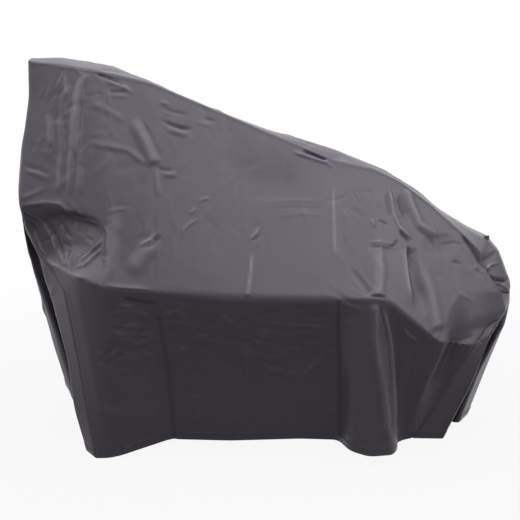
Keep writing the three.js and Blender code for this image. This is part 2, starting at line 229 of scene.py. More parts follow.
@dataclass(frozen=True)
class Crease:
    """A ridge (rise over 0) or trough (rise under 0) along a path on a panel.

    It fades in and out over a share of its length at each end, or not at all where that share is 0.
    """

    path: tuple[Spot, ...]
    width: float
    rise: float
    fold: Fold = Fold.ROUND
    fade: Spot = (0.3, 0.3)

    def _across(self, distance: np.ndarray, side: np.ndarray) -> np.ndarray:
        """Share of the rise at a distance from the path.

        Args:
            distance: distance from the path.
            side: over 0 to the left of the path, under 0 to its right.
        Returns:
            Shares from 0 to 1.
        """
        steep = np.where(side < 0, LAP_FLANK, 1.0) if self.fold is Fold.LAP else 1.0
        near = np.clip(1 - distance / (self.width * steep), 0, 1)
        return eased(near) if self.fold is Fold.ROUND else near**SHARP_FALL

    def reaches(self, spots: np.ndarray) -> np.ndarray:
        """Which spots of its panel the crease can lift.

        Args:
            spots: spots of the panel.
        Returns:
            True for each spot that lies in the crease's box.
        """
        corners = np.array(self.path)
        low, high = corners.min(axis=0) - self.width, corners.max(axis=0) + self.width
        return np.all((spots > low) & (spots < high), axis=-1)

    def share(self, spots: np.ndarray) -> np.ndarray:
        """Share of the rise over spots of its panel.

        Args:
            spots: a list of spots of the panel.
        Returns:
            Shares from 0 to 1.
        """
        corners = np.array(self.path)
        spans = np.linalg.norm(np.diff(corners, axis=0), axis=1)
        starts = np.concatenate([[0], np.cumsum(spans)])
        best = np.full(len(spots), np.inf)
        along = np.zeros_like(best)
        side = np.zeros_like(best)
        for corner, run, span, start in zip(corners, np.diff(corners, axis=0), spans, starts):
            offset = spots - corner
            share = np.clip(offset @ run / span**2, 0, 1)
            distance = np.linalg.norm(offset - share[..., None] * run, axis=-1)
            turn = run[0] * offset[..., 1] - run[1] * offset[..., 0]
            closer = distance < best
            best = np.where(closer, distance, best)
            along = np.where(closer, (start + share * span) / starts[-1], along)
            side = np.where(closer, turn, side)
        ends = np.ones_like(best)
        for place, fade in ((along, self.fade[0]), (1 - along, self.fade[1])):
            if fade > 0:
                ends = ends * eased(np.clip(place / fade, 0, 1))
        return self._across(best, side) * ends

    def mark(self, share: np.ndarray) -> np.ndarray:
        """Paleness along a ridge, partly stress-whitened coating and partly painted highlight, from 0 to 1,
        and painted shade in a trough, from 0 to -1.
        """
        strength = math.copysign(min(abs(self.rise) / FULL_MARK_RISE, 1) ** MARK_GROWTH, self.rise)
        return strength * share**2 * (SOFT_MARK if self.fold is Fold.ROUND else 1.0)


@dataclass(frozen=True)
class Fan:
    """Short creases that radiate from one tip.

    Each strays from its heading by up to a few degrees. It starts, ends, rises and widens at an uneven share
    of the fan's own figures, and is either a ridge or a shallower trough.
    """

    tip: Spot
    reach: Spot
    headings: Spot
    count: int
    width: float
    rise: float
    seed: int
    stray: float = 4.0
    starts: Spot = (0.6, 1.4)
    ends: Spot = (0.6, 1.0)
    rises: Spot = (0.6, 1.2)
    widths: Spot = (0.7, 1.3)
    turns: Spot = (1, -0.7)

    def creases(self) -> Iterator[Crease]:
        """The creases of the fan.

        Returns:
            Each crease in turn, from the first heading to the last.
        """
        draw = np.random.default_rng(self.seed)
        for heading in np.linspace(*self.headings, self.count):
            turn = math.radians(heading + draw.uniform(-self.stray, self.stray))
            way = np.array([math.cos(turn), math.sin(turn)])
            near = self.reach[0] * draw.uniform(*self.starts)
            far = self.reach[1] * draw.uniform(*self.ends)
            path = tuple(tuple(np.array(self.tip) + way * length) for length in (near, far))
            rise = self.rise * draw.uniform(*self.rises) * draw.choice(self.turns)
            yield Crease(path, self.width * draw.uniform(*self.widths), rise, Fold.SHARP)


@dataclass(frozen=True)
class Crumple:
    """Many faint creases scattered over a field of a panel, some of them crisp and each slightly bowed."""

    low: Spot
    high: Spot
    count: int
    length: Spot
    width: Spot
    rise: Spot
    heading: float
    spread: float
    seed: int
    crisp: float = 0.3
    bow: float = 0.25
    fade: Spot = (0.5, 0.5)

    def creases(self) -> Iterator[Crease]:
        """The creases of the field.

        Returns:
            Each crease in turn.
        """
        draw = np.random.default_rng(self.seed)
        for _ in range(self.count):
            middle = draw.uniform(self.low, self.high)
            turn = math.radians(self.heading + draw.normal(0, self.spread))
            way = np.array([math.cos(turn), math.sin(turn)]) * draw.uniform(*self.length) / 2
            bow = np.array([-way[1], way[0]]) * draw.uniform(-self.bow, self.bow)
            path = (tuple(middle - way), tuple(middle + bow), tuple(middle + way))
            rise = draw.uniform(*self.rise) * draw.choice([1, -1])
            fold = Fold.SHARP if draw.uniform() < self.crisp else Fold.ROUND
            yield Crease(path, draw.uniform(*self.width), rise, fold, self.fade)


# ---- Sections: the shape in which the cover hangs --------------------------------------------------------
LEFT_FRONT_SEAM = Section(
    0,
    hem=(-0.495, -0.285, 0.0),
    knee=(-0.540, -0.240, 0.262),
    skirt_top=(-0.582, -0.212, 0.482),
    bend=(-0.628, -0.138, 0.531),
    lip=(-0.671, -0.092, 0.565),
    dip=(-0.712, -0.084, 0.642),
    shoulder=(-0.723, -0.120, 0.722),
    chest=(-0.721, -0.044, 0.882),
    neck=(-0.707, 0.018, 1.019),
    top=(-0.713, 0.060, 1.125),
)
RIGHT_FRONT_SEAM = Section(
    0,
    hem=(0.425, -0.240, 0.046),
    bend=(0.601, -0.227, 0.326),
    lip=(0.644, -0.168, 0.364),
    dip=(0.706, -0.125, 0.398),
    shoulder=(0.688, -0.112, 0.457),
    chest=(0.665, -0.097, 0.494),
    neck=(0.644, -0.080, 0.527),
    top=(0.642, -0.060, 0.563),
)
LEFT_BACK_SEAM = Section(
    0,
    hem=(-0.668, 0.300, 0.042),
    bend=(-0.748, 0.290, 0.470),
    dip=(-0.745, 0.280, 0.590),
    shoulder=(-0.735, 0.270, 0.700),
    top=(-0.700, 0.200, 1.085),
)
RIGHT_BACK_SEAM = Section(
    0,
    hem=(0.640, 0.300, 0.044),
    bend=(0.705, 0.285, 0.330),
    dip=(0.715, 0.280, 0.400),
    shoulder=(0.708, 0.275, 0.460),
    top=(0.675, 0.250, 0.560),
)
FRONT_SECTIONS = (
    LEFT_FRONT_SEAM,
    Section(2, hem=(-0.455, -0.292, 0.004), bend=(-0.546, -0.254, 0.529), top=(-0.616, 0.050, 1.111),
            lip=(-0.568, -0.172, 0.600), dip=(-0.590, -0.125, 0.690), shoulder=(-0.594, -0.150, 0.714)),
    Section(3.5, hem=(-0.422, -0.288, 0.010), bend=(-0.497, -0.288, 0.525), top=(-0.564, 0.050, 1.104),
            lip=(-0.507, -0.200, 0.596), dip=(-0.520, -0.150, 0.672), shoulder=(-0.524, -0.172, 0.698)),
    Section(5, hem=(-0.389, -0.280, 0.019), bend=(-0.446, -0.306, 0.510), top=(-0.512, 0.050, 1.096),
            lip=(-0.448, -0.256, 0.575), dip=(-0.453, -0.214, 0.640), shoulder=(-0.458, -0.190, 0.684)),
    Section(8, hem=(-0.283, -0.240, 0.043), knee=(-0.305, -0.263, 0.270), bend=(-0.328, -0.310, 0.501),
            top=(-0.350, 0.060, 1.060)),
    Section(14, hem=(-0.108, -0.245, 0.040), knee=(-0.106, -0.264, 0.262), bend=(-0.104, -0.312, 0.484),
            top=(-0.111, 0.070, 0.958), reach=SOFT_BEND),
    Section(19, hem=(0.097, -0.245, 0.046), knee=(0.095, -0.264, 0.264), bend=(0.092, -0.312, 0.481),
            top=(0.101, 0.050, 0.870), reach=SOFT_BEND),
    Section(22, hem=(0.208, -0.252, 0.045), knee=(0.204, -0.268, 0.263), bend=(0.199, -0.312, 0.481),
            top=(0.215, 0.040, 0.823), reach=SOFT_BEND),
    Section(23.5, hem=(0.238, -0.322, 0.036), bend=(0.246, -0.313, 0.481), top=(0.262, 0.036, 0.815)),
    Section(25, hem=(0.290, -0.354, 0.030), bend=(0.292, -0.318, 0.482), top=(0.318, 0.030, 0.804)),
    Section(27, hem=(0.364, -0.338, 0.030), bend=(0.318, -0.312, 0.479), top=(0.382, 0.024, 0.776)),
    Section(28, hem=(0.378, -0.258, 0.038), bend=(0.346, -0.306, 0.471), top=(0.417, 0.018, 0.756),
            reach=SOFT_BEND),
    Section(30, hem=(0.398, -0.245, 0.042), bend=(0.409, -0.303, 0.418), top=(0.491, -0.002, 0.700),
            reach=SOFT_BEND),
    Section(33, hem=(0.410, -0.242, 0.044), bend=(0.494, -0.296, 0.348), top=(0.583, -0.034, 0.620)),
    RIGHT_FRONT_SEAM.moved_to(FRONT_COLUMNS),
)
BACK_SECTIONS = (
    LEFT_BACK_SEAM,
    Section(6, hem=(-0.480, 0.341, 0.030), bend=(-0.492, 0.338, 0.520), top=(-0.500, 0.215, 1.052)),
    Section(11, hem=(-0.262, 0.316, 0.038), bend=(-0.258, 0.332, 0.500), top=(-0.290, 0.240, 1.000)),
    Section(17, hem=(-0.020, 0.342, 0.028), bend=(-0.010, 0.339, 0.455), top=(-0.010, 0.270, 0.895)),
    Section(23, hem=(0.216, 0.314, 0.042), bend=(0.226, 0.334, 0.470), top=(0.235, 0.288, 0.790)),
    Section(29, hem=(0.424, 0.340, 0.034), bend=(0.440, 0.336, 0.400), top=(0.460, 0.290, 0.690)),
    RIGHT_BACK_SEAM.moved_to(FRONT_COLUMNS),
)
LEFT_SIDE_SECTIONS = (
    LEFT_FRONT_SEAM,
    Section(1.8, hem=(-0.533, -0.235, 0.010), shin=(-0.570, -0.212, 0.128), knee=(-0.587, -0.190, 0.272),
            skirt_top=(-0.641, -0.130, 0.450), bend=(-0.657, -0.112, 0.490), lip=(-0.675, -0.080, 0.552),
            dip=(-0.718, -0.058, 0.630), shoulder=(-0.732, -0.055, 0.716), neck=(-0.709, 0.052, 1.019),
            top=(-0.714, 0.085, 1.129)),
    Section(2.6, hem=(-0.500, -0.070, 0.022), knee=(-0.580, -0.020, 0.265), skirt_top=(-0.656, 0.030, 0.440),
            bend=(-0.680, 0.045, 0.484), lip=(-0.700, 0.075, 0.545), dip=(-0.716, 0.080, 0.612),
            shoulder=(-0.742, 0.018, 0.706), neck=(-0.709, 0.065, 1.020), top=(-0.713, 0.097, 1.130)),
    Section(3.3, hem=(-0.548, -0.140, 0.022), shin=(-0.580, -0.105, 0.140), knee=(-0.616, -0.075, 0.262),
            skirt_top=(-0.692, 0.000, 0.440), bend=(-0.712, 0.020, 0.486), lip=(-0.731, 0.048, 0.540),
            dip=(-0.742, 0.048, 0.608), shoulder=(-0.748, 0.020, 0.704), neck=(-0.709, 0.076, 1.020),
            top=(-0.713, 0.110, 1.129)),
    Section(4, hem=(-0.566, -0.030, 0.035), shin=(-0.610, -0.066, 0.150), knee=(-0.656, -0.010, 0.262),
            skirt_top=(-0.708, 0.052, 0.440), bend=(-0.719, 0.063, 0.480), lip=(-0.737, 0.072, 0.545),
            dip=(-0.746, 0.070, 0.608), shoulder=(-0.751, 0.053, 0.703), neck=(-0.709, 0.095, 1.018),
            top=(-0.713, 0.124, 1.126)),
    Section(5, hem=(-0.594, 0.080, 0.040), knee=(-0.645, 0.094, 0.242), bend=(-0.725, 0.110, 0.474),
            dip=(-0.750, 0.120, 0.600), shoulder=(-0.762, 0.105, 0.700), chest=(-0.744, 0.110, 0.862),
            neck=(-0.709, 0.125, 1.013), top=(-0.711, 0.145, 1.120)),
    LEFT_BACK_SEAM.moved_to(SIDE_COLUMNS),
)
RIGHT_SIDE_SECTIONS = (
    RIGHT_FRONT_SEAM,
    Section(2, hem=(0.530, -0.216, 0.034), knee=(0.612, -0.202, 0.200), skirt_top=(0.657, -0.184, 0.325),
            bend=(0.667, -0.174, 0.350), lip=(0.700, -0.110, 0.375), dip=(0.724, -0.070, 0.400),
            shoulder=(0.734, -0.044, 0.460), neck=(0.698, -0.015, 0.560), top=(0.668, 0.010, 0.590)),
    Section(2.7, hem=(0.490, 0.010, 0.046), knee=(0.572, 0.020, 0.196), skirt_top=(0.640, 0.010, 0.315),
            bend=(0.674, -0.030, 0.335), lip=(0.710, -0.050, 0.365), dip=(0.732, -0.030, 0.397),
            shoulder=(0.740, -0.010, 0.462), neck=(0.706, 0.020, 0.555), top=(0.674, 0.036, 0.589)),
    Section(3.4, hem=(0.574, -0.120, 0.048), knee=(0.628, -0.110, 0.196), skirt_top=(0.694, -0.080, 0.312),
            bend=(0.716, -0.060, 0.336), lip=(0.731, -0.030, 0.368), dip=(0.743, 0.000, 0.398),
            shoulder=(0.745, 0.025, 0.463), neck=(0.713, 0.060, 0.550), top=(0.680, 0.075, 0.588)),
    Section(4.4, hem=(0.628, -0.004, 0.046), knee=(0.682, 0.000, 0.196), skirt_top=(0.726, 0.004, 0.314),
            bend=(0.735, 0.016, 0.334), dip=(0.747, 0.055, 0.400),
            shoulder=(0.747, 0.080, 0.465), neck=(0.716, 0.105, 0.545), top=(0.683, 0.125, 0.585)),
    RIGHT_BACK_SEAM.moved_to(SIDE_COLUMNS),
)

# Rise of the top strip over the straight line between its two seams: (column, rise).
STRIP_CROWN = (
    (0, 0.0), (2, 0.027), (4, 0.027), (6, 0.031), (8, 0.017), (10, 0.007), (14, 0.004), (17, 0.008),
    (19, 0.021), (22, 0.034), (25, 0.020), (27.5, 0.008), (30, 0.012), (33, 0.014), (FRONT_COLUMNS, 0.0),
)
CROWN_PEAK = 0.35  # share of the depth at which the strip is highest
END_BLEND = 5  # columns over which the strip takes up the shape of a side panel's top edge

# ---- Placed creases --------------------------------------------------------------------------------------
# Spots are (x, z) on the front and the back, (y, z) on the sides and (x, y) on the strip.
# Columns: path, width, rise, fold, fade at the start and the end of the path.
STACK_CREASES = (
    Crease(((-0.605, 1.098), (-0.598, 1.050), (-0.589, 1.006)), 0.007, 0.003, Fold.SHARP),
    Crease(((-0.606, 1.093), (-0.619, 1.050)), 0.006, 0.002, Fold.SHARP),
    Crease(((-0.641, 0.976), (-0.637, 0.920), (-0.634, 0.871)), 0.014, 0.003),
    Crease(((-0.519, 1.083), (-0.544, 1.075), (-0.556, 1.048), (-0.563, 1.013), (-0.567, 0.943),
            (-0.563, 0.874), (-0.572, 0.800)), 0.018, 0.0048, Fold.ROUND, (0.1, 0.35)),
    Crease(((-0.558, 1.040), (-0.565, 0.990), (-0.567, 0.940)), 0.006, 0.002, Fold.SHARP),
    Crease(((-0.546, 1.010), (-0.549, 0.960), (-0.550, 0.905)), 0.010, -0.003, Fold.SHARP),
    Crease(((-0.601, 0.873), (-0.603, 0.810), (-0.599, 0.744)), 0.014, 0.003),
    Crease(((-0.575, 0.873), (-0.572, 0.800), (-0.573, 0.736)), 0.012, 0.003),
    Crease(((-0.550, 0.887), (-0.544, 0.820), (-0.539, 0.737)), 0.014, 0.003),
    Crease(((-0.641, 0.964), (-0.631, 0.871)), 0.010, 0.002),
    Crease(((-0.609, 0.965), (-0.593, 0.846)), 0.012, 0.0025),
    Crease(((-0.520, 1.090), (-0.475, 1.074), (-0.426, 1.051)), 0.008, -0.006, Fold.SHARP, (0.3, 0.1)),
    Crease(((-0.491, 1.072), (-0.437, 1.054), (-0.389, 1.026)), 0.012, 0.005, Fold.SHARP),
    Crease(((-0.480, 1.037), (-0.448, 1.033), (-0.415, 1.032)), 0.008, -0.004, Fold.SHARP),
    Crease(((-0.474, 1.026), (-0.440, 1.023), (-0.405, 1.020)), 0.008, 0.002),
    Crease(((-0.548, 1.022), (-0.475, 1.031)), 0.008, -0.002, Fold.SHARP),
    Crease(((-0.530, 1.005), (-0.471, 0.984), (-0.411, 0.948)), 0.014, 0.0025),
    Crease(((-0.325, 0.828), (-0.362, 0.900), (-0.402, 0.966)), 0.026, 0.007, fade=(0.1, 0.3)),
    Crease(((-0.305, 0.838), (-0.342, 0.908), (-0.379, 0.966)), 0.010, -0.003, Fold.SHARP, (0.2, 0.3)),
    Crease(((-0.324, 0.825), (-0.318, 0.780), (-0.312, 0.736)), 0.012, 0.003),
    Crease(((-0.317, 0.953), (-0.280, 0.936), (-0.248, 0.927), (-0.214, 0.923)), 0.010, -0.006, Fold.SHARP),
    Crease(((-0.306, 0.936), (-0.272, 0.920), (-0.225, 0.908)), 0.014, 0.004),
    Crease(((-0.318, 0.988), (-0.274, 0.973), (-0.229, 0.964)), 0.008, -0.003, Fold.SHARP),
    Crease(((-0.322, 1.004), (-0.290, 0.996)), 0.010, 0.003),
    Crease(((-0.200, 0.957), (-0.148, 0.943)), 0.007, -0.003, Fold.SHARP),
    Crease(((-0.212, 0.944), (-0.160, 0.930)), 0.008, 0.002),
    Crease(((-0.326, 0.824), (-0.296, 0.814), (-0.269, 0.815)), 0.009, -0.004, Fold.SHARP),
    Crease(((-0.310, 0.806), (-0.255, 0.800)), 0.012, 0.003),
    Crease(((-0.720, 0.828), (-0.670, 0.816), (-0.626, 0.802)), 0.008, -0.003, Fold.SHARP),
    Crease(((-0.716, 0.816), (-0.668, 0.803), (-0.630, 0.788)), 0.010, 0.003),
    Crease(((-0.719, 0.734), (-0.680, 0.750), (-0.641, 0.766)), 0.008, 0.003, Fold.SHARP),
    Crease(((-0.539, 0.894), (-0.466, 0.884), (-0.408, 0.872), (-0.341, 0.826)), 0.013, 0.003,
           fade=(0.3, 0.2)),
)
BULGE_CREASES = (
    Crease(((-0.722, 0.712), (-0.646, 0.724), (-0.600, 0.722), (-0.578, 0.706), (-0.555, 0.684),
            (-0.509, 0.674), (-0.455, 0.668)), 0.016, 0.004, Fold.LAP, (0.0, 0.3)),
    Crease(((-0.667, 0.683), (-0.621, 0.613), (-0.606, 0.562)), 0.009, 0.008, Fold.SHARP),
    Crease(((-0.652, 0.683), (-0.607, 0.613), (-0.592, 0.570)), 0.008, -0.005, Fold.SHARP),
    Crease(((-0.606, 0.677), (-0.562, 0.620)), 0.010, -0.005, Fold.SHARP),
    Crease(((-0.710, 0.692), (-0.690, 0.674), (-0.668, 0.668)), 0.007, -0.006, Fold.SHARP, (0.1, 0.3)),
    Crease(((-0.705, 0.672), (-0.684, 0.652), (-0.668, 0.632)), 0.007, -0.006, Fold.SHARP, (0.1, 0.3)),
    Crease(((-0.704, 0.682), (-0.680, 0.662)), 0.006, 0.005, Fold.SHARP, (0.2, 0.3)),
    Crease(((-0.688, 0.640), (-0.660, 0.585), (-0.640, 0.560)), 0.009, 0.006, Fold.SHARP, (0.2, 0.3)),
    Crease(((-0.650, 0.549), (-0.600, 0.541), (-0.546, 0.531), (-0.497, 0.527)), 0.032, 0.009, Fold.LAP,
           (0.2, 0.3)),
    Crease(((-0.580, 0.546), (-0.600, 0.586)), 0.007, 0.006, Fold.SHARP),
    Crease(((-0.578, 0.546), (-0.583, 0.593)), 0.007, 0.006, Fold.SHARP),
    Crease(((-0.576, 0.546), (-0.557, 0.596)), 0.007, 0.006, Fold.SHARP),
    Crease(((-0.586, 0.546), (-0.636, 0.632)), 0.007, 0.005, Fold.SHARP),
    Crease(((-0.590, 0.540), (-0.650, 0.560)), 0.007, 0.005, Fold.SHARP),
    Crease(((-0.558, 0.556), (-0.512, 0.588), (-0.464, 0.636)), 0.009, 0.008, Fold.SHARP),
    Crease(((-0.566, 0.544), (-0.516, 0.566), (-0.468, 0.608)), 0.009, 0.008, Fold.SHARP),
    Crease(((-0.438, 0.712), (-0.442, 0.649), (-0.443, 0.591), (-0.446, 0.514)), 0.030, 0.006,
           fade=(0.3, 0.3)),
    Crease(((-0.452, 0.672), (-0.455, 0.630), (-0.456, 0.590)), 0.006, 0.002, Fold.SHARP),
    Crease(((-0.466, 0.706), (-0.430, 0.712), (-0.396, 0.716)), 0.007, 0.002, Fold.SHARP),
    Crease(((-0.311, 0.632), (-0.352, 0.593), (-0.393, 0.542)), 0.034, 0.005),
)
SLOPE_CREASES = (
    Crease(((-0.367, 0.614), (-0.334, 0.632), (-0.311, 0.658)), 0.008, 0.005, Fold.SHARP),
    Crease(((-0.352, 0.606), (-0.322, 0.622), (-0.300, 0.648)), 0.007, -0.004, Fold.SHARP),
    Crease(((-0.222, 0.695), (-0.206, 0.716)), 0.006, 0.004, Fold.SHARP),
    Crease(((-0.200, 0.722), (-0.190, 0.735), (-0.165, 0.737)), 0.006, 0.004, Fold.SHARP),
    Crease(((-0.240, 0.631), (-0.240, 0.657), (-0.221, 0.673), (-0.193, 0.686)), 0.008, 0.003, Fold.SHARP),
    Crease(((-0.052, 0.624), (-0.034, 0.642), (-0.020, 0.662)), 0.008, 0.005, Fold.SHARP),
    Crease(((-0.040, 0.622), (-0.020, 0.640)), 0.006, -0.003, Fold.SHARP),
    Crease(((-0.043, 0.600), (-0.046, 0.552), (-0.054, 0.492)), 0.012, 0.006, Fold.SHARP, (0.3, 0.0)),
    Crease(((0.193, 0.555), (0.195, 0.636), (0.196, 0.712), (0.198, 0.784)), 0.011, 0.004, Fold.SHARP,
           (0.25, 0.3)),
    Crease(((0.101, 0.861), (0.143, 0.845), (0.182, 0.829)), 0.009, -0.009, Fold.SHARP, (0.3, 0.1)),
    Crease(((0.070, 0.858), (0.136, 0.836), (0.182, 0.820)), 0.009, 0.006, Fold.SHARP, (0.3, 0.1)),
    Crease(((0.176, 0.831), (0.184, 0.819), (0.196, 0.806)), 0.007, 0.006, Fold.SHARP, (0.1, 0.3)),
    Crease(((-0.020, 0.722), (0.070, 0.726), (0.175, 0.722)), 0.007, 0.0012),
    Crease(((-0.010, 0.704), (0.080, 0.707), (0.180, 0.702)), 0.007, -0.0012),
    Crease(((0.000, 0.686), (0.090, 0.690), (0.190, 0.684)), 0.007, 0.001),
    Crease(((-0.323, 0.737), (-0.322, 0.640), (-0.320, 0.523)), 0.008, -0.002),
    Crease(((-0.160, 0.870), (-0.020, 0.800), (0.160, 0.770)), 0.090, -0.005),
)
FIRE_BOX_CREASES = (
    Crease(((0.366, 0.751), (0.375, 0.684), (0.391, 0.647), (0.412, 0.630), (0.435, 0.613)), 0.009, 0.006,
           Fold.SHARP, (0.15, 0.3)),
    Crease(((0.356, 0.745), (0.364, 0.700), (0.372, 0.668)), 0.012, -0.004),
    Crease(((0.390, 0.738), (0.400, 0.700), (0.418, 0.668)), 0.016, -0.007, Fold.SHARP),
    Crease(((0.418, 0.749), (0.430, 0.701), (0.453, 0.650), (0.490, 0.626), (0.539, 0.611)), 0.022, 0.008,
           fade=(0.1, 0.4)),
    Crease(((0.424, 0.748), (0.436, 0.700), (0.458, 0.655)), 0.006, 0.002, Fold.SHARP),
    Crease(((0.455, 0.612), (0.500, 0.590), (0.560, 0.588)), 0.036, -0.005),
    Crease(((0.320, 0.671), (0.340, 0.664), (0.358, 0.654)), 0.006, -0.004, Fold.SHARP),
    Crease(((0.306, 0.676), (0.316, 0.650)), 0.010, 0.004),
    Crease(((0.379, 0.653), (0.402, 0.632), (0.432, 0.611)), 0.006, 0.004, Fold.SHARP),
    Crease(((0.384, 0.641), (0.402, 0.622), (0.419, 0.603)), 0.006, -0.005, Fold.SHARP),
    Crease(((0.285, 0.606), (0.330, 0.603), (0.387, 0.590)), 0.006, -0.004, Fold.SHARP),
    Crease(((0.286, 0.618), (0.330, 0.616), (0.372, 0.607)), 0.007, 0.003, Fold.SHARP),
    Crease(((0.352, 0.598), (0.372, 0.606), (0.384, 0.620)), 0.008, -0.006, Fold.SHARP),
    Crease(((0.324, 0.620), (0.320, 0.540), (0.312, 0.484)), 0.030, 0.008, fade=(0.4, 0.05)),
    Crease(((0.330, 0.640), (0.328, 0.560)), 0.008, 0.002, Fold.SHARP),
    Crease(((0.236, 0.554), (0.262, 0.524), (0.292, 0.492)), 0.014, -0.004, fade=(0.3, 0.1)),
    Crease(((0.413, 0.438), (0.406, 0.512), (0.402, 0.604)), 0.030, 0.009, Fold.LAP, (0.35, 0.15)),
    Crease(((0.414, 0.596), (0.424, 0.520), (0.452, 0.420)), 0.030, -0.008, fade=(0.1, 0.4)),
    Crease(((0.412, 0.600), (0.416, 0.560), (0.420, 0.520)), 0.006, -0.006, Fold.SHARP, (0.1, 0.5)),
    Crease(((0.446, 0.560), (0.475, 0.457), (0.487, 0.376)), 0.034, 0.006, fade=(0.3, 0.1)),
    Crease(((0.580, 0.618), (0.602, 0.590), (0.622, 0.560), (0.638, 0.530), (0.652, 0.508)), 0.014, -0.007,
           Fold.SHARP, (0.2, 0.3)),
    Crease(((0.515, 0.400), (0.532, 0.432), (0.560, 0.462), (0.592, 0.450), (0.622, 0.415)), 0.012, 0.0015),
    Crease(((0.563, 0.458), (0.558, 0.400), (0.550, 0.340), (0.520, 0.250), (0.480, 0.165), (0.450, 0.090)),
           0.046, -0.026, fade=(0.38, 0.6)),
    Crease(((0.530, 0.354), (0.570, 0.346), (0.598, 0.350)), 0.030, -0.004, Fold.SHARP, (0.3, 0.1)),
)
SKIRT_CREASES = (
    Crease(((-0.311, 0.457), (-0.295, 0.355), (-0.280, 0.189), (-0.272, 0.050)), 0.018, -0.005,
           fade=(0.1, 0.0)),
    Crease(((-0.062, 0.472), (-0.058, 0.342), (-0.055, 0.120)), 0.010, 0.0015),
    Crease(((-0.012, 0.460), (-0.008, 0.300)), 0.010, 0.0012),
    Crease(((-0.444, 0.439), (-0.406, 0.441), (-0.341, 0.447)), 0.008, 0.002),
    Crease(((-0.446, 0.405), (-0.388, 0.399), (-0.323, 0.393)), 0.009, 0.0025),
    Crease(((-0.437, 0.376), (-0.374, 0.372), (-0.312, 0.377)), 0.009, 0.002),
    Crease(((-0.304, 0.377), (-0.190, 0.357), (-0.068, 0.337)), 0.010, 0.0015),
    Crease(((-0.048, 0.413), (0.065, 0.400), (0.186, 0.394)), 0.009, 0.002),
    Crease(((-0.040, 0.378), (0.065, 0.372), (0.186, 0.388)), 0.009, 0.002),
    Crease(((-0.040, 0.317), (0.000, 0.265), (0.095, 0.244), (0.151, 0.287), (0.187, 0.349)), 0.010, 0.003),
    Crease(((0.200, 0.477), (0.201, 0.419), (0.203, 0.298), (0.207, 0.062)), 0.010, -0.005, Fold.SHARP,
           (0.02, 0.0)),
    Crease(((0.302, 0.470), (0.305, 0.360), (0.325, 0.235), (0.337, 0.160), (0.342, 0.070)), 0.022, 0.007,
           fade=(0.05, 0.1)),
    Crease(((0.303, 0.450), (0.306, 0.350), (0.318, 0.260)), 0.007, 0.0025, Fold.SHARP, (0.1, 0.3)),
    Crease(((-0.464, 0.516), (-0.425, 0.511), (-0.370, 0.508), (-0.318, 0.505)), 0.014, 0.0035, Fold.LAP,
           (0.2, 0.3)),
    Crease(((-0.290, 0.466), (-0.360, 0.474), (-0.425, 0.484)), 0.028, -0.006, Fold.LAP, (0.3, 0.3)),
    Crease(((0.314, 0.466), (0.329, 0.406), (0.349, 0.309), (0.361, 0.179)), 0.008, -0.003, Fold.SHARP,
           (0.05, 0.3)),
    Crease(((0.370, 0.040), (0.367, 0.206), (0.351, 0.359), (0.326, 0.460)), 0.022, 0.006, Fold.LAP,
           (0.0, 0.1)),
    Crease(((0.379, 0.400), (0.400, 0.372), (0.430, 0.350)), 0.010, 0.003, Fold.SHARP),
)
BACK_CREASES = (
    Crease(((-0.560, 1.000), (-0.590, 0.600), (-0.610, 0.120)), 0.070, -0.013),
    Crease(((-0.350, 0.960), (-0.380, 0.500), (-0.400, 0.030)), 0.075, 0.014, fade=(0.3, 0.1)),
    Crease(((-0.130, 0.860), (-0.150, 0.020)), 0.080, -0.014, fade=(0.3, 0.1)),
    Crease(((0.120, 0.720), (0.090, 0.040)), 0.070, 0.012, fade=(0.3, 0.1)),
    Crease(((0.610, 0.470), (0.480, 0.370), (0.330, 0.250)), 0.055, 0.010),
    Crease(((0.520, 0.420), (0.540, 0.060)), 0.060, -0.014),
    Crease(((-0.020, 0.880), (-0.024, 0.480), (-0.022, 0.060)), 0.012, 0.004),
    Crease(((-0.290, 0.980), (-0.294, 0.520), (-0.290, 0.080)), 0.012, 0.004),
    Crease(((0.250, 0.770), (0.246, 0.420), (0.248, 0.060)), 0.012, 0.004),
    Crease(((-0.690, 0.500), (-0.300, 0.506), (0.200, 0.500), (0.500, 0.494)), 0.012, 0.0035),
)
LEFT_SIDE_CREASES = (
    Crease(((0.130, 1.050), (0.100, 0.850), (0.070, 0.640)), 0.050, 0.009),
    Crease(((0.230, 0.640), (0.210, 0.360), (0.190, 0.080)), 0.070, -0.014, fade=(0.3, 0.1)),
    Crease(((0.180, 1.060), (0.190, 0.700), (0.240, 0.480)), 0.020, 0.005),
    Crease(((0.080, 0.760), (0.150, 0.735), (0.230, 0.752)), 0.016, -0.005, Fold.SHARP),
    Crease(((0.080, 0.600), (0.130, 0.560), (0.160, 0.500)), 0.018, 0.006, Fold.SHARP),
)
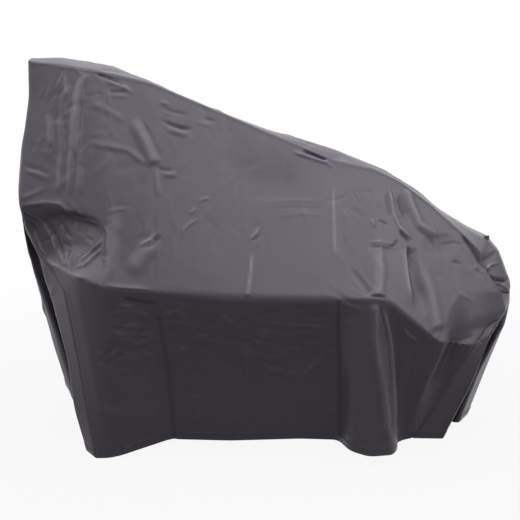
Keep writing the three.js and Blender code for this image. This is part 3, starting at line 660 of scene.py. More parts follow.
RIGHT_SIDE_CREASES = (
    Crease(((-0.176, 0.350), (-0.202, 0.200), (-0.216, 0.036)), 0.024, -0.005, Fold.SHARP, (0.1, 0.0)),
    Crease(((-0.215, 0.333), (-0.180, 0.352), (-0.130, 0.388)), 0.030, -0.007, Fold.SHARP, (0.05, 0.2)),
    Crease(((-0.097, 0.511), (-0.066, 0.526), (-0.030, 0.530)), 0.008, 0.007, Fold.SHARP, (0.05, 0.4)),
    Crease(((-0.100, 0.503), (-0.090, 0.488), (-0.055, 0.476), (-0.010, 0.482)), 0.012, -0.011, Fold.SHARP,
           (0.05, 0.2)),
    Crease(((-0.098, 0.482), (-0.080, 0.463), (-0.060, 0.444)), 0.010, 0.007, Fold.SHARP, (0.1, 0.3)),
    Crease(((-0.104, 0.457), (-0.084, 0.446), (-0.052, 0.440)), 0.006, -0.008, Fold.SHARP, (0.1, 0.2)),
    Crease(((-0.082, 0.536), (-0.045, 0.549), (-0.010, 0.562)), 0.012, -0.006, Fold.SHARP, (0.2, 0.3)),
    Crease(((0.000, 0.540), (0.025, 0.490), (0.030, 0.420)), 0.026, -0.006, Fold.SHARP),
    Crease(((0.170, 0.560), (0.160, 0.320), (0.150, 0.080)), 0.060, 0.012, fade=(0.3, 0.1)),
)
STRIP_CREASES = (
    Crease(((0.040, 0.066), (0.110, 0.070), (0.180, 0.062)), 0.014, 0.006, Fold.SHARP),
    Crease(((-0.640, 0.110), (-0.520, 0.120), (-0.400, 0.120)), 0.030, 0.006),
    Crease(((-0.200, 0.150), (-0.060, 0.160), (0.080, 0.150)), 0.030, -0.006),
    Crease(((0.300, 0.090), (0.420, 0.110), (0.520, 0.090)), 0.030, 0.006),
)

# ---- Scattered creases -----------------------------------------------------------------------------------
# Columns: lowest and highest spot, count, lengths, widths, rises, heading and its spread in degrees, seed.
FRONT_CRUMPLES = (
    Crumple((-0.66, 0.60), (0.25, 1.05), 110, (0.05, 0.18), (0.008, 0.020), (0.0004, 0.0016), 80, 45, 11),
    Crumple((0.15, 0.45), (0.66, 0.75), 80, (0.04, 0.14), (0.007, 0.018), (0.0005, 0.0020), 110, 40, 12),
    Crumple((-0.30, 0.28), (0.20, 0.46), 60, (0.04, 0.18), (0.007, 0.015), (0.0008, 0.0030), 4, 22, 13),
    Crumple((-0.47, 0.24), (-0.30, 0.46), 30, (0.04, 0.12), (0.007, 0.014), (0.0008, 0.0030), 10, 25, 18),
    Crumple((-0.50, 0.06), (0.24, 0.40), 60, (0.05, 0.18), (0.009, 0.018), (0.0004, 0.0016), 5, 30, 17),
    Crumple((0.24, 0.06), (0.56, 0.42), 50, (0.05, 0.14), (0.008, 0.016), (0.0004, 0.0014), 70, 40, 14),
    Crumple((-0.71, 0.52), (-0.44, 0.70), 60, (0.02, 0.07), (0.005, 0.009), (0.0006, 0.0022), 125, 30, 15),
    Crumple((-0.70, 0.86), (-0.40, 1.11), 60, (0.02, 0.08), (0.005, 0.010), (0.0005, 0.0018), 75, 35, 16),
)
# Columns: tip, nearest and farthest reach, headings in degrees, count, width, rise, seed.
FRONT_FANS = (
    Fan((-0.447, 0.500), (0.010, 0.070), (60, 130), 5, 0.008, 0.0008, 22),
    Fan((0.300, 0.480), (0.010, 0.080), (50, 150), 6, 0.009, 0.0014, 23),
)
BACK_CRUMPLE = Crumple((-0.72, 0.06), (0.70, 0.95), 160, (0.06, 0.22), (0.012, 0.030), (0.0008, 0.0030), 80,
                       50, 31)
LEFT_SIDE_CRUMPLE = Crumple((-0.15, 0.06), (0.28, 1.05), 60, (0.05, 0.16), (0.012, 0.026), (0.0008, 0.003),
                            85, 40, 32)
RIGHT_SIDE_CRUMPLE = Crumple((0.06, 0.06), (0.28, 0.56), 36, (0.04, 0.12), (0.010, 0.022), (0.0008, 0.003),
                             95, 40, 33)
STRIP_CRUMPLE = Crumple((-0.68, 0.05), (0.66, 0.24), 70, (0.04, 0.14), (0.010, 0.022), (0.0008, 0.003), 10,
                        30, 34)


def with_scattered(placed: Sequence[Crease], *sources: Fan | Crumple) -> list[Crease]:
    """The creases of one panel: the placed ones, and then those of its fans and crumples.

    Args:
        placed: creases that each have a place in a table.
        sources: fans and crumples of the panel.
    Returns:
        All the creases, in the order in which they are laid.
    """
    return [*placed, *(crease for source in sources for crease in source.creases())]


FRONT_CREASES = (*STACK_CREASES, *BULGE_CREASES, *SLOPE_CREASES, *FIRE_BOX_CREASES, *SKIRT_CREASES)


# ---- Grids of cloth --------------------------------------------------------------------------------------
def stations(last: float, steps: Sequence[tuple[float, float, int]], extra: Sequence[float]) -> np.ndarray:
    """Places of the grid lines along one table.

    Args:
        last: last place of the table.
        steps: (first place, last place, grid steps to one unit) for each stretch.
        extra: further places, from the start when over 0 and from the end when under 0.
    Returns:
        Increasing places from 0 to last.
    """
    places = [np.arange(low, high, 1 / count) for low, high, count in steps]
    placed = [place if place > 0 else last + place for place in extra]
    return np.unique(np.round(np.concatenate([*places, placed, [last]]), TABLE_DIGITS))


FROM_THE_END = tuple(-step for step in SEAM_STEPS)
ACROSS = stations(FRONT_COLUMNS, FRONT_STEPS, SEAM_STEPS + FROM_THE_END)
DEEP = stations(SIDE_COLUMNS, SIDE_STEPS, SEAM_STEPS + FROM_THE_END)
ROWS = stations(LAST_ROW, ROW_STEPS, HEM_STEPS + FROM_THE_END)


class Edge(Enum):
    """The four edges of a panel's grid."""

    START = "first column"
    END = "last column"
    LOW = "first row"
    HIGH = "last row"


UPRIGHT_SEAMS = (Edge.START, Edge.END, Edge.HIGH)


class Plane(Enum):
    """The two axes by which the spots of a panel's creases are given."""

    FRONT = (0, 2)
    SIDE = (1, 2)
    TOP = (0, 1)


def away_from(points: np.ndarray, edge: Edge) -> np.ndarray:
    """Distance along the cloth from one edge of a grid.

    Args:
        points: grid of points, columns by rows.
        edge: the edge from which the distance counts.
    Returns:
        Distance of each point.
    """
    axis = 0 if edge in (Edge.START, Edge.END) else 1
    steps = np.linalg.norm(np.diff(points, axis=axis), axis=-1)
    first = np.zeros_like(np.take(steps, [0], axis=axis))
    if edge in (Edge.START, Edge.LOW):
        return np.concatenate([first, np.cumsum(steps, axis=axis)], axis=axis)
    back = np.flip(np.cumsum(np.flip(steps, axis=axis), axis=axis), axis=axis)
    return np.concatenate([back, first], axis=axis)


def unit(steps: np.ndarray) -> np.ndarray:
    """Steps of length 1 in the same directions."""
    return steps / np.maximum(np.linalg.norm(steps, axis=-1, keepdims=True), LEAST_LENGTH)


def grid_normals(points: np.ndarray) -> np.ndarray:
    """Unit normals of a grid whose faces turn from its columns to its rows."""
    return unit(np.cross(np.gradient(points, axis=0), np.gradient(points, axis=1)))


def lane_of(edge: Edge, inwards: int = 0) -> tuple[slice | int, slice | int]:
    """Index of the line of grid points along one edge, or of one further in.

    Args:
        edge: the edge.
        inwards: grid steps from the edge.
    Returns:
        Index into a grid, columns by rows.
    """
    line = inwards if edge in (Edge.START, Edge.LOW) else -1 - inwards
    return (line, slice(None)) if edge in (Edge.START, Edge.END) else (slice(None), line)


def lowest_near(values: np.ndarray, reach: int) -> np.ndarray:
    """Lowest value of a grid around each of its points.

    Args:
        values: one value for each point.
        reach: grid steps to look to every side.
    Returns:
        The lowest values.
    """
    lowest = values.copy()
    for axis in (0, 1):
        padding = [(reach, reach) if axis == side else (0, 0) for side in (0, 1)]
        padded = np.pad(lowest, padding, mode="edge")
        count = lowest.shape[axis]
        shifted = [padded.take(range(shift, shift + count), axis=axis) for shift in range(2 * reach + 1)]
        lowest = np.min(shifted, axis=0)
    return lowest


def rim_faces(outer: np.ndarray, inner: np.ndarray, stops: np.ndarray, turned: bool) -> list[list[int]]:
    """Faces that close one edge of a sheet, each from one inner grid step to all its outer ones.

    Args:
        outer: vertices along the outer face's edge.
        inner: vertices along the inner face's edge.
        stops: places of the inner vertices along the outer edge.
        turned: whether the faces turn the other way.
    Returns:
        Corners of each face.
    """
    faces = []
    for k, (first, last) in enumerate(zip(stops[:-1], stops[1:])):
        face = [outer[first], inner[k], inner[k + 1], *outer[first + 1:last + 1][::-1]]
        faces.append([int(corner) for corner in (face[::-1] if turned else face)])
    return faces


def read_line(places: Sequence[float], run: np.ndarray, values: np.ndarray) -> np.ndarray:
    """Readings along a line, each between the two nearest of its points.

    Args:
        places: distances along the line.
        run: distance along the line of each of its points.
        values: three values for each of its points.
    Returns:
        Three values for each place.
    """
    return np.stack([np.interp(places, run, values[:, axis]) for axis in range(3)], -1)


@dataclass
class Panel:
    """One sewn panel of the cover, as a grid of its outer face and a coarser one of its inner face.

    It stands for a CAD node and takes its finish from a slot. The base is the shape in which it hangs before
    it is creased, flat and area are the size of its cut, and lift says for each point how far the creases
    raise it. The marks say how much paler the creases leave it along ridges, partly stress-whitened coating
    and partly painted highlight, and how much painted shade they lay in troughs.
    """

    node: str
    slot: str
    base: np.ndarray
    sewn: tuple[Edge, ...]
    flat: Spot
    area: float
    plane: Plane = Plane.FRONT
    creases: list[Crease] = field(default_factory=list)
    inner_step: int = 1
    outer: np.ndarray = field(init=False)
    inner: np.ndarray = field(init=False)
    wear_glint_and_shade: np.ndarray = field(init=False)
    lift: np.ndarray = field(init=False)

    @property
    def name(self) -> str:
        """The name of the piece that stands for the panel."""
        return f"{self.node}_cloth"

    @property
    def stops(self) -> tuple[np.ndarray, np.ndarray]:
        """Columns and rows of the outer grid that the inner grid has too."""
        counts = self.base.shape[:2]
        return tuple(np.unique([*range(0, count, self.inner_step), count - 1]) for count in counts)

    def leave_plain(self) -> None:
        """Keeps the outer face as it is cut, with no crease, seam or hem."""
        self.outer = self.base
        self.lift = self.wear_glint_and_shade = np.zeros(self.base.shape[:2])

    def crease(self, leans: np.ndarray) -> None:
        """Lifts the outer face along the creases, rounds it into its seams and turns up its hem.

        Args:
            leans: outward direction at each point, shared with the neighbours at the rim.
        """
        spots = self.base[..., list(self.plane.value)]
        self.lift = np.zeros(spots.shape[:2])
        self.wear_glint_and_shade = np.zeros_like(self.lift)
        for crease in self.creases:
            near = crease.reaches(spots)
            share = crease.share(spots[near])
            self.lift[near] += crease.rise * share
            # paler along ridges, partly stress-whitened coating and partly painted highlight; painted shade
            # in troughs
            self.wear_glint_and_shade[near] += crease.mark(share)
        if Edge.LOW not in self.sewn:
            self.lift += HEM_RISE * (away_from(self.base, Edge.LOW) < HEM_HEIGHT)
        self.outer = self.base.copy()
        for edge in self.sewn:
            away = away_from(self.base, edge)
            self.lift *= eased(np.clip(away / CREASE_CALM, 0, 1))
            sink = SEAM_SINK * np.clip(1 - away / SEAM_ROUND, 0, 1) ** 2
            line = leans[lane_of(edge)]
            self.outer -= sink[..., None] * np.expand_dims(line, 0 if edge in (Edge.START, Edge.END) else 1)
        self.outer += grid_normals(self.base) * self.lift[..., None]

    def thicken(self, leans: np.ndarray, cloth: float) -> None:
        """Makes the inner face, which stays under the creases of the outer one.

        Args:
            leans: outward direction at each point, shared with the neighbours at the rim.
            cloth: thickness of the cloth.
        """
        room = self.lift - lowest_near(self.lift, self.inner_step)
        for edge in Edge:
            room[lane_of(edge)] = 0
        under = self.outer - grid_normals(self.outer) * room[..., None] - leans * cloth
        self.inner = under[np.ix_(*self.stops)]

    def vertices(self) -> np.ndarray:
        """Vertices of the closed sheet, the outer ones before the inner ones."""
        return np.concatenate([self.outer.reshape(-1, 3), self.inner.reshape(-1, 3)])

    def faces(self) -> list[list[int]]:
        """Faces of the closed sheet.

        Returns:
            Corners of each face, turned outwards: the outer face, the inner face and the four edges.
        """
        outer = np.arange(self.outer[..., 0].size).reshape(self.outer.shape[:2])
        inner = outer.size + np.arange(self.inner[..., 0].size).reshape(self.inner.shape[:2])
        blocks = (
            np.stack([outer[:-1, :-1], outer[1:, :-1], outer[1:, 1:], outer[:-1, 1:]], -1),
            np.stack([inner[:-1, :-1], inner[:-1, 1:], inner[1:, 1:], inner[1:, :-1]], -1),
        )
        faces = np.concatenate([part.reshape(-1, 4) for part in blocks]).tolist()
        across, along = self.stops
        for edge, stops, turned in ((Edge.LOW, across, False), (Edge.HIGH, across, True),
                                    (Edge.START, along, True), (Edge.END, along, False)):
            faces += rim_faces(outer[lane_of(edge)], inner[lane_of(edge)], stops, turned)
        return faces

    def both(self, values: np.ndarray) -> np.ndarray:
        """Values of the outer grid, for the sheet's outer and inner vertices."""
        shape = (-1, *values.shape[2:])
        return np.concatenate([values.reshape(shape), values[np.ix_(*self.stops)].reshape(shape)])

    def draw_in(self) -> None:
        """Takes the sewn edges back into the panel, so that the panels stand a seam's gap apart."""
        moved = self.outer.copy()
        for edge in self.sewn:
            way = self.outer[lane_of(edge, 1)] - self.outer[lane_of(edge)]
            moved[lane_of(edge)] += unit(way) * SEAM_GAP / 2
        self.outer = moved

    def along_edge(self, edge: Edge, inset: float) -> tuple[np.ndarray, np.ndarray]:
        """A line on the outer face that runs along one edge.

        Args:
            edge: the edge to follow.
            inset: distance from the edge, along the cloth.
        Returns:
            Points of the line, and the cloth's normals there.
        """
        away = away_from(self.outer, edge)
        points, normals = self.outer, grid_normals(self.outer)
        if edge in (Edge.START, Edge.END):
            away, points, normals = away.T, points.swapaxes(0, 1), normals.swapaxes(0, 1)
        if edge in (Edge.END, Edge.HIGH):
            away, points, normals = away[:, ::-1], points[:, ::-1], normals[:, ::-1]
        line, lean = (
            np.array([read_line([inset], far, lane)[0] for far, lane in zip(away, lanes)])
            for lanes in (points, normals)
        )
        return line, unit(lean)


# ---- Finishes --------------------------------------------------------------------------------------------
WAVE_PHASE = 20  # radians that Blender's wave texture runs through over one unit at scale 1
MIX_SHARE, MIX_LOW, MIX_HIGH = 0, 6, 7  # inputs of a Mix node that mixes colours
MIX_COLOUR = 2  # its output
WHITE = (1.0, 1.0, 1.0, 1.0)


@dataclass(frozen=True)
class Noise:
    """Soft random unevenness: how many times it comes to a metre, its finer detail and its roughness."""

    scale: float
    detail: float
    roughness: float = 0.5


class NodeDesk:
    """Adds shader nodes to a material's tree, and wires them."""

    def __init__(self, tree: bpy.types.NodeTree) -> None:
        """Keeps the tree and clears it."""
        self.tree = tree
        self.tree.nodes.clear()

    def add(self, kind: str, **settings: object) -> bpy.types.Node:
        """Adds a node.

        Args:
            kind: the node's type, without its leading ShaderNode.
            settings: properties of the node, and inputs by name with blanks as underscores.
        Returns:
            The new node.
        """
        node = self.tree.nodes.new(f"ShaderNode{kind}")
        for name, value in settings.items():
            if name in node.bl_rna.properties:
                setattr(node, name, value)
            else:
                node.inputs[name.replace("_", " ")].default_value = value
        return node

    def wire(self, source: Socket, node: bpy.types.Node, socket: str | int) -> bpy.types.Node:
        """Wires an output into one input of a node, and returns that node."""
        self.tree.links.new(source, node.inputs[socket])
        return node

    def feed(self, node: bpy.types.Node, socket: str | int, value: object) -> None:
        """Gives an input of a node its value, or wires it where the value is an output.

        Args:
            node: the node.
            socket: name or index of its input.
            value: a value, or the output of another node.
        """
        if isinstance(value, bpy.types.NodeSocket):
            self.wire(value, node, socket)
        else:
            node.inputs[socket].default_value = value

    def maths(self, operation: str, *terms: Socket | float) -> Socket:
        """Adds a Math node.

        Args:
            operation: what it works out.
            terms: its terms, each an output or a number.
        Returns:
            Its output.
        """
        node = self.add("Math", operation=operation)
        for index, term in enumerate(terms):
            self.feed(node, index, term)
        return node.outputs[0]

    def noise(self, noise: Noise, place: Socket) -> Socket:
        """Adds a noise texture.

        Args:
            noise: its settings.
            place: the places at which it is read.
        Returns:
            Its values, from 0 to 1.
        """
        node = self.add("TexNoise", Scale=noise.scale, Detail=noise.detail, Roughness=noise.roughness)
        return self.wire(place, node, "Vector").outputs["Fac"]

    def blend(self, share: Socket, low: Socket | Point, high: Point) -> Socket:
        """Mixes two colours.

        Args:
            share: share of the second colour.
            low: the first colour, or the output that gives it.
            high: the second colour.
        Returns:
            The mixed colour.
        """
        mix = self.add("Mix", data_type="RGBA", clamp_factor=True)
        self.feed(mix, MIX_LOW, low if isinstance(low, bpy.types.NodeSocket) else (*low, 1))
        self.feed(mix, MIX_HIGH, (*high, 1))
        self.feed(mix, MIX_SHARE, share)
        return mix.outputs[MIX_COLOUR]

    def finish(self, shader: bpy.types.Node, output: str = "OutputMaterial") -> None:
        """Wires a shader to the tree's output."""
        self.wire(shader.outputs[0], self.add(output), "Surface")

    def finish_mixed(self, share: Socket, low: bpy.types.Node, high: bpy.types.Node, output: str) -> None:
        """Wires a mix of two shaders to the tree's output.

        Args:
            share: share of the second shader.
            low: the first shader.
            high: the second shader.
            output: type of the output node.
        """
        mix = self.wire(share, self.add("MixShader"), 0)
        self.wire(low.outputs[0], mix, 1)
        self.wire(high.outputs[0], mix, 2)
        self.finish(mix, output)


def new_material(name: str) -> tuple[bpy.types.Material, NodeDesk]:
    """Makes an empty material.

    Args:
        name: its name.
    Returns:
        The material, and the desk for its nodes.
    """
    material = bpy.data.materials.new(name)
    material.use_nodes = True
    return material, NodeDesk(material.node_tree)


@dataclass(frozen=True)
class CoatedCloth:
    """Dense woven polyester with a matte coating: fine grain, handling wrinkles and slightly uneven gloss.

    Its second colour is paler, for the random clouds and along ridges, partly stress-whitened coating and
    partly painted highlight; its third is painted shade in troughs. Depths and the pitch are in metres.
    """

    name: str
    colour: Point
    # paler colour of the clouds and the ridges, partly stress-whitened coating and partly painted highlight
    worn_and_glint: Point
    # painted shade in troughs
    dull: Point
    roughness: Spot
    specular: float = 0.22
    thread_pitch: float = 0.0011
    weave_depth: float = 0.00005
    grain: Noise = Noise(1 / 0.006, 3.0, 0.6)
    grain_depth: float = 0.0003
    waves: Noise = Noise(1 / 0.05, 2.5, 0.45)
    wave_patches: Noise = Noise(5.0, 1.0)
    wave_depth: float = 0.0014
    clouds: Noise = Noise(9.0, 4.0, 0.55)
    cloudiness: float = 0.16
    gloss: Noise = Noise(14.0, 3.0)

    def _weave(self, desk: NodeDesk, across: Socket) -> Socket:
        """Height of the plain weave.

        Args:
            desk: the material's desk.
            across: places on the cloth's own map.
        Returns:
            Height in metres.
        """
        scale = math.tau / WAVE_PHASE / self.thread_pitch
        threads = []
        for direction in ("X", "Y"):
            wave = desk.add("TexWave", bands_direction=direction, Scale=scale, Distortion=0.0)
            threads.append(desk.wire(across, wave, "Vector").outputs["Fac"])
        return desk.maths("MULTIPLY", desk.maths("MAXIMUM", *threads), self.weave_depth)

    def _relief(self, desk: NodeDesk, across: Socket, place: Socket) -> Socket:
        """Height of the weave, of the coating's fine grain and of the soft waves that come and go.

        Args:
            desk: the material's desk.
            across: places on the cloth's own map.
            place: places on the piece.
        Returns:
            Height in metres.
        """
        grain = desk.maths("MULTIPLY", desk.noise(self.grain, place), self.grain_depth)
        strength = desk.maths("MULTIPLY", desk.noise(self.wave_patches, place), self.wave_depth)
        waves = desk.maths("MULTIPLY", desk.noise(self.waves, place), strength)
        return desk.maths("ADD", desk.maths("ADD", self._weave(desk, across), grain), waves)

    def _shade(self, desk: NodeDesk, place: Socket) -> Socket:
        """The cloth's colour: slightly cloudy, paler along ridges, partly stress-whitened and partly painted
        highlight, and painted shade in troughs.

        Args:
            desk: the material's desk.
            place: places on the piece.
        Returns:
            The colour.
        """
        # the creases' marks: over 0 pale, partly stress-whitened coating and partly painted highlight; under
        # 0 painted shade
        fold = desk.add("Attribute", attribute_name="wear_glint_and_shade").outputs["Fac"]
        cloudy = desk.maths("MULTIPLY", desk.noise(self.clouds, place), self.cloudiness)
        worn_and_glint = desk.maths("ADD", cloudy, desk.maths("MAXIMUM", fold, 0.0))
        # share of the painted shade in troughs
        dull = desk.maths("MULTIPLY", desk.maths("MINIMUM", fold, 0.0), -1.0)
        return desk.blend(dull, desk.blend(worn_and_glint, self.colour, self.worn_and_glint), self.dull)

    def material(self) -> bpy.types.Material:
        """Makes the finish as a material.

        Returns:
            The material.
        """
        material, desk = new_material(self.name)
        places = desk.add("TexCoord")
        across, place = places.outputs["UV"], places.outputs["Object"]
        bump = desk.add("Bump", Strength=1.0, Distance=1.0)
        desk.wire(self._relief(desk, across, place), bump, "Height")
        least, most = self.roughness
        shader = desk.add("BsdfPrincipled", Specular_IOR_Level=self.specular)
        desk.wire(self._shade(desk, place), shader, "Base Color")
        desk.wire(desk.maths("MULTIPLY_ADD", desk.noise(self.gloss, place), most - least, least), shader,
                  "Roughness")
        desk.wire(bump.outputs["Normal"], shader, "Normal")
        desk.finish(shader)
        return material


@dataclass(frozen=True)
class SewingThread:
    """Matte twisted polyester thread, with a little painted shade between its strands, laid by a fine noise.
    """

    name: str
    colour: Point
    roughness: float = 0.6
    specular: float = 0.1
    # share of the colour left in the painted shade between strands
    shade: float = 0.75
    twist: Noise = Noise(2400.0, 1.0)

    def material(self) -> bpy.types.Material:
        """Makes the finish as a material.

        Returns:
            The material.
        """
        material, desk = new_material(self.name)
        twist = desk.noise(self.twist, desk.add("TexCoord").outputs["Object"])
        darker = tuple(self.shade * part for part in self.colour)
        shader = desk.add("BsdfPrincipled", Roughness=self.roughness, Specular_IOR_Level=self.specular)
        desk.wire(desk.blend(twist, darker, self.colour), shader, "Base Color")
        desk.finish(shader)
        return material


PANEL_CLOTH = CoatedCloth(
    "coated_cloth_panels",
    colour=(0.062, 0.053, 0.070),
    # paler colour of the clouds and ridges, partly stress-whitened coating and partly painted highlight
    worn_and_glint=(0.170, 0.160, 0.185),
    # painted shade in troughs
    dull=(0.024, 0.020, 0.027),
    roughness=(0.31, 0.39),
)
# A lighter copy of the panel cloth for the top strip and the seam tab: its lighter colours are painted light,
# as the strip faces up into the lamps. Its second colour is paler on ridges, partly stress-whitened coating
# and partly painted highlight, and its third is painted shade in troughs.
STRIP_CLOTH_LIT_COPY = CoatedCloth(
    "coated_cloth_strip_lit_copy",
    colour=(0.082, 0.073, 0.091),
    worn_and_glint=(0.180, 0.170, 0.195),
    dull=(0.028, 0.024, 0.032),
    roughness=(0.29, 0.36),
)
THREAD = SewingThread("sewing_thread", (0.062, 0.056, 0.067))


# ---- Top stitching and the seam ear ----------------------------------------------------------------------
def put(name: str, data: bpy.types.ID) -> bpy.types.Object:
    """Adds an object to the scene.

    Args:
        name: its name.
        data: its mesh, lamp or camera.
    Returns:
        The new object, at the origin.
    """
    thing = bpy.data.objects.new(name, data)
    bpy.context.scene.collection.objects.link(thing)
    return thing


def new_piece(
    name: str, vertices: np.ndarray, faces: Sequence[Sequence[int]], material: bpy.types.Material
) -> bpy.types.Object:
    """Makes a smooth mesh object whose place is in its mesh.

    Args:
        name: name of the piece.
        vertices: points, in metres.
        faces: corners of each face, turned outwards.
        material: its finish.
    Returns:
        The new object, linked to the scene.
    """
    mesh = bpy.data.meshes.new(name)
    mesh.from_pydata(np.asarray(vertices).tolist(), [], faces)
    mesh.polygons.foreach_set("use_smooth", [True] * len(mesh.polygons))
    mesh.materials.append(material)
    mesh.validate()
    return put(name, mesh)


@dataclass(frozen=True)
class TopStitching:
    """Rows of stitches that lie on the cloth beside its seams and over its hem.

    A stitch is a flattened bead between two points, full between its shoulders. The shoulders are shares of
    its length, and the lift of its middle and its flatness are shares of its half width.
    """

    pitch: float = 0.0046
    length: float = 0.0034
    width: float = 0.0011
    sides: int = 5
    shoulders: Spot = (0.18, 0.82)
    lift: float = 0.5
    flatness: float = 0.8
    seam_insets: Spot = (0.0045, 0.0105)
    hem_insets: tuple[float] = (0.0195,)

    def _row(self, points: np.ndarray, normals: np.ndarray) -> tuple[np.ndarray, np.ndarray]:
        """Stitches along one line.

        Args:
            points: the line's points.
            normals: the cloth's normals at them.
        Returns:
            Vertices and triangles of all the stitches.
        """
        run = np.concatenate([[0], np.cumsum(np.linalg.norm(np.diff(points, axis=0), axis=1))])
        starts = np.arange(self.pitch, run[-1] - self.pitch, self.pitch)
        first, last = read_line(starts, run, points), read_line(starts + self.length, run, points)
        up = read_line(starts + self.length / 2, run, normals)
        along = last - first
        side = unit(np.cross(along, up))
        half = self.width / 2
        rings = [first]
        for share in self.shoulders:
            middle = first + along * share + up * half * self.lift
            for turn in np.arange(self.sides) * math.tau / self.sides:
                wide = side * math.cos(turn) * half
                high = up * math.sin(turn) * half * self.flatness
                rings.append(middle + wide + high)
        vertices = np.stack([*rings, last], axis=1)
        end = vertices.shape[1] - 1
        faces = []
        for k in range(self.sides):
            near, next_near = 1 + k, 1 + (k + 1) % self.sides
            far, next_far = near + self.sides, next_near + self.sides
            faces += [(0, next_near, near), (near, next_near, next_far)]
            faces += [(near, next_far, far), (end, far, next_far)]
        stride = np.arange(len(first))[:, None, None] * vertices.shape[1]
        return vertices.reshape(-1, 3), (np.array(faces)[None] + stride).reshape(-1, 3)

    def sew(self, panel: Panel, place: str, edge: Edge, thread: bpy.types.Material) -> None:
        """Sews the rows along one edge of a panel, as one piece.

        Args:
            panel: the panel on which they lie.
            place: what the edge is called in the piece's name.
            edge: the edge.
            thread: their finish.
        """
        insets = self.hem_insets if edge is Edge.LOW else self.seam_insets
        parts = [self._row(*panel.along_edge(edge, inset)) for inset in insets]
        offsets = np.cumsum([0] + [len(vertices) for vertices, _ in parts[:-1]])
        vertices = np.concatenate([vertices for vertices, _ in parts])
        faces = np.concatenate([faces + offset for (_, faces), offset in zip(parts, offsets)])
        piece = new_piece(f"{panel.node}_{place}_stitches", vertices, faces.tolist(), thread)
        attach(piece, "root")
        LOG.info("%s: %d faces", piece.name, len(faces))


@dataclass(frozen=True)
class SeamEar:
    """The end of the seam allowance that stands up over the fire box, its free edge rolled to the back.

    It starts at its lower corner on the seam. The part of its width that stays flat, how far the rest rolls
    in and back, its belly, its taper and its tilt are shares of its width or height.
    """

    start: Point = (0.660, 0.018, 0.587)
    size: Spot = (0.021, 0.013)
    cut_share: float = 0.9
    lines: tuple[int, int] = (15, 11)
    flat_share: float = 0.65
    rolled_in: float = 0.22
    rolled_back: float = 0.4
    roll_power: float = 1.5
    belly: float = 0.12
    taper: float = 0.12
    tilt: float = 0.16

    def grid(self) -> np.ndarray:
        """Grid of the ear.

        Returns:
            Points, columns by rows.
        """
        width, height = self.size
        across, up = np.meshgrid(*(np.linspace(0, 1, count) for count in self.lines), indexing="ij")
        roll = np.clip((across - self.flat_share) / (1 - self.flat_share), 0, 1)
        x = width * (across - self.rolled_in * roll**2)
        y = self.rolled_back * height * roll**self.roll_power
        y -= self.belly * height * np.sin(math.pi * across) * (1 - up)
        z = height * (up * (1 - self.taper * roll) + self.tilt * across)
        return np.array(self.start) + np.stack([x, y, z], -1)

    def panel(self, cloth: float) -> Panel:
        """The ear as a small panel, sewn to nothing.

        Args:
            cloth: thickness of the cloth.
        Returns:
            The finished panel.
        """
        ear = Panel("corner_seam_tab", "strip_cloth", self.grid(), (), self.size,
                    self.cut_share * math.prod(self.size))
        ear.leave_plain()
        ear.thicken(grid_normals(ear.outer), cloth)
        return ear


# ---- The cover -------------------------------------------------------------------------------------------
TOP_AND_HEM = (("top_seam", Edge.HIGH), ("hem", Edge.LOW))
STITCHED_EDGES = {
    "front_panel": TOP_AND_HEM,
    "back_panel": TOP_AND_HEM,
    "left_side_panel": (("front_seam", Edge.END), ("back_seam", Edge.START), *TOP_AND_HEM),
    "right_side_panel": (("front_seam", Edge.START), ("back_seam", Edge.END), *TOP_AND_HEM),
}


def upright_grid(sections: Sequence[Section], columns: np.ndarray, reach: float) -> np.ndarray:
    """Grid of an upright panel.

    Args:
        sections: its upright sections, by column.
        columns: places of the grid's columns.
        reach: half width over which neighbouring sections are blended.
    Returns:
        Points, columns by rows.
    """
    places = np.array([float(section.column) for section in sections])
    profiles = np.array([section.profile(ROWS) for section in sections])
    flat = SoftTable(places, profiles.reshape(len(places), -1)).read(columns, reach)
    return flat.reshape(len(columns), len(ROWS), 3)


def strip_grid(front: np.ndarray, back: np.ndarray, left: np.ndarray, right: np.ndarray) -> np.ndarray:
    """Grid of the top strip, ruled between its seams, crowned, and led into the side panels' top edges.

    Args:
        front: grid of the front panel.
        back: grid of the back panel, from the left end to the right one.
        left: grid of the left side panel, from front to back.
        right: grid of the right side panel, from front to back.
    Returns:
        Points, from the left end to the right one by front to back.
    """
    share = DEEP / SIDE_COLUMNS
    ruled = front[:, None, -1] * (1 - share)[None, :, None] + back[:, None, -1] * share[None, :, None]
    places, rises = (np.array(column, float) for column in zip(*STRIP_CROWN))
    rise = SoftTable(places, rises[:, None]).read(ACROSS, FRONT_REACH)
    hump = np.where(
        share < CROWN_PEAK,
        np.sin(math.pi / 2 * share / CROWN_PEAK),
        np.cos(math.pi / 2 * (share - CROWN_PEAK) / (1 - CROWN_PEAK)),
    )
    strip = ruled.copy()
    strip[..., 2] += rise * hump
    for side, end, row in ((left, 0, 0), (right, FRONT_COLUMNS, -1)):
        weight = np.clip(1 - np.abs(ACROSS - end) / END_BLEND, 0, 1) ** 2
        strip += weight[:, None, None] * (side[:, -1] - ruled[row])[None]
    return strip


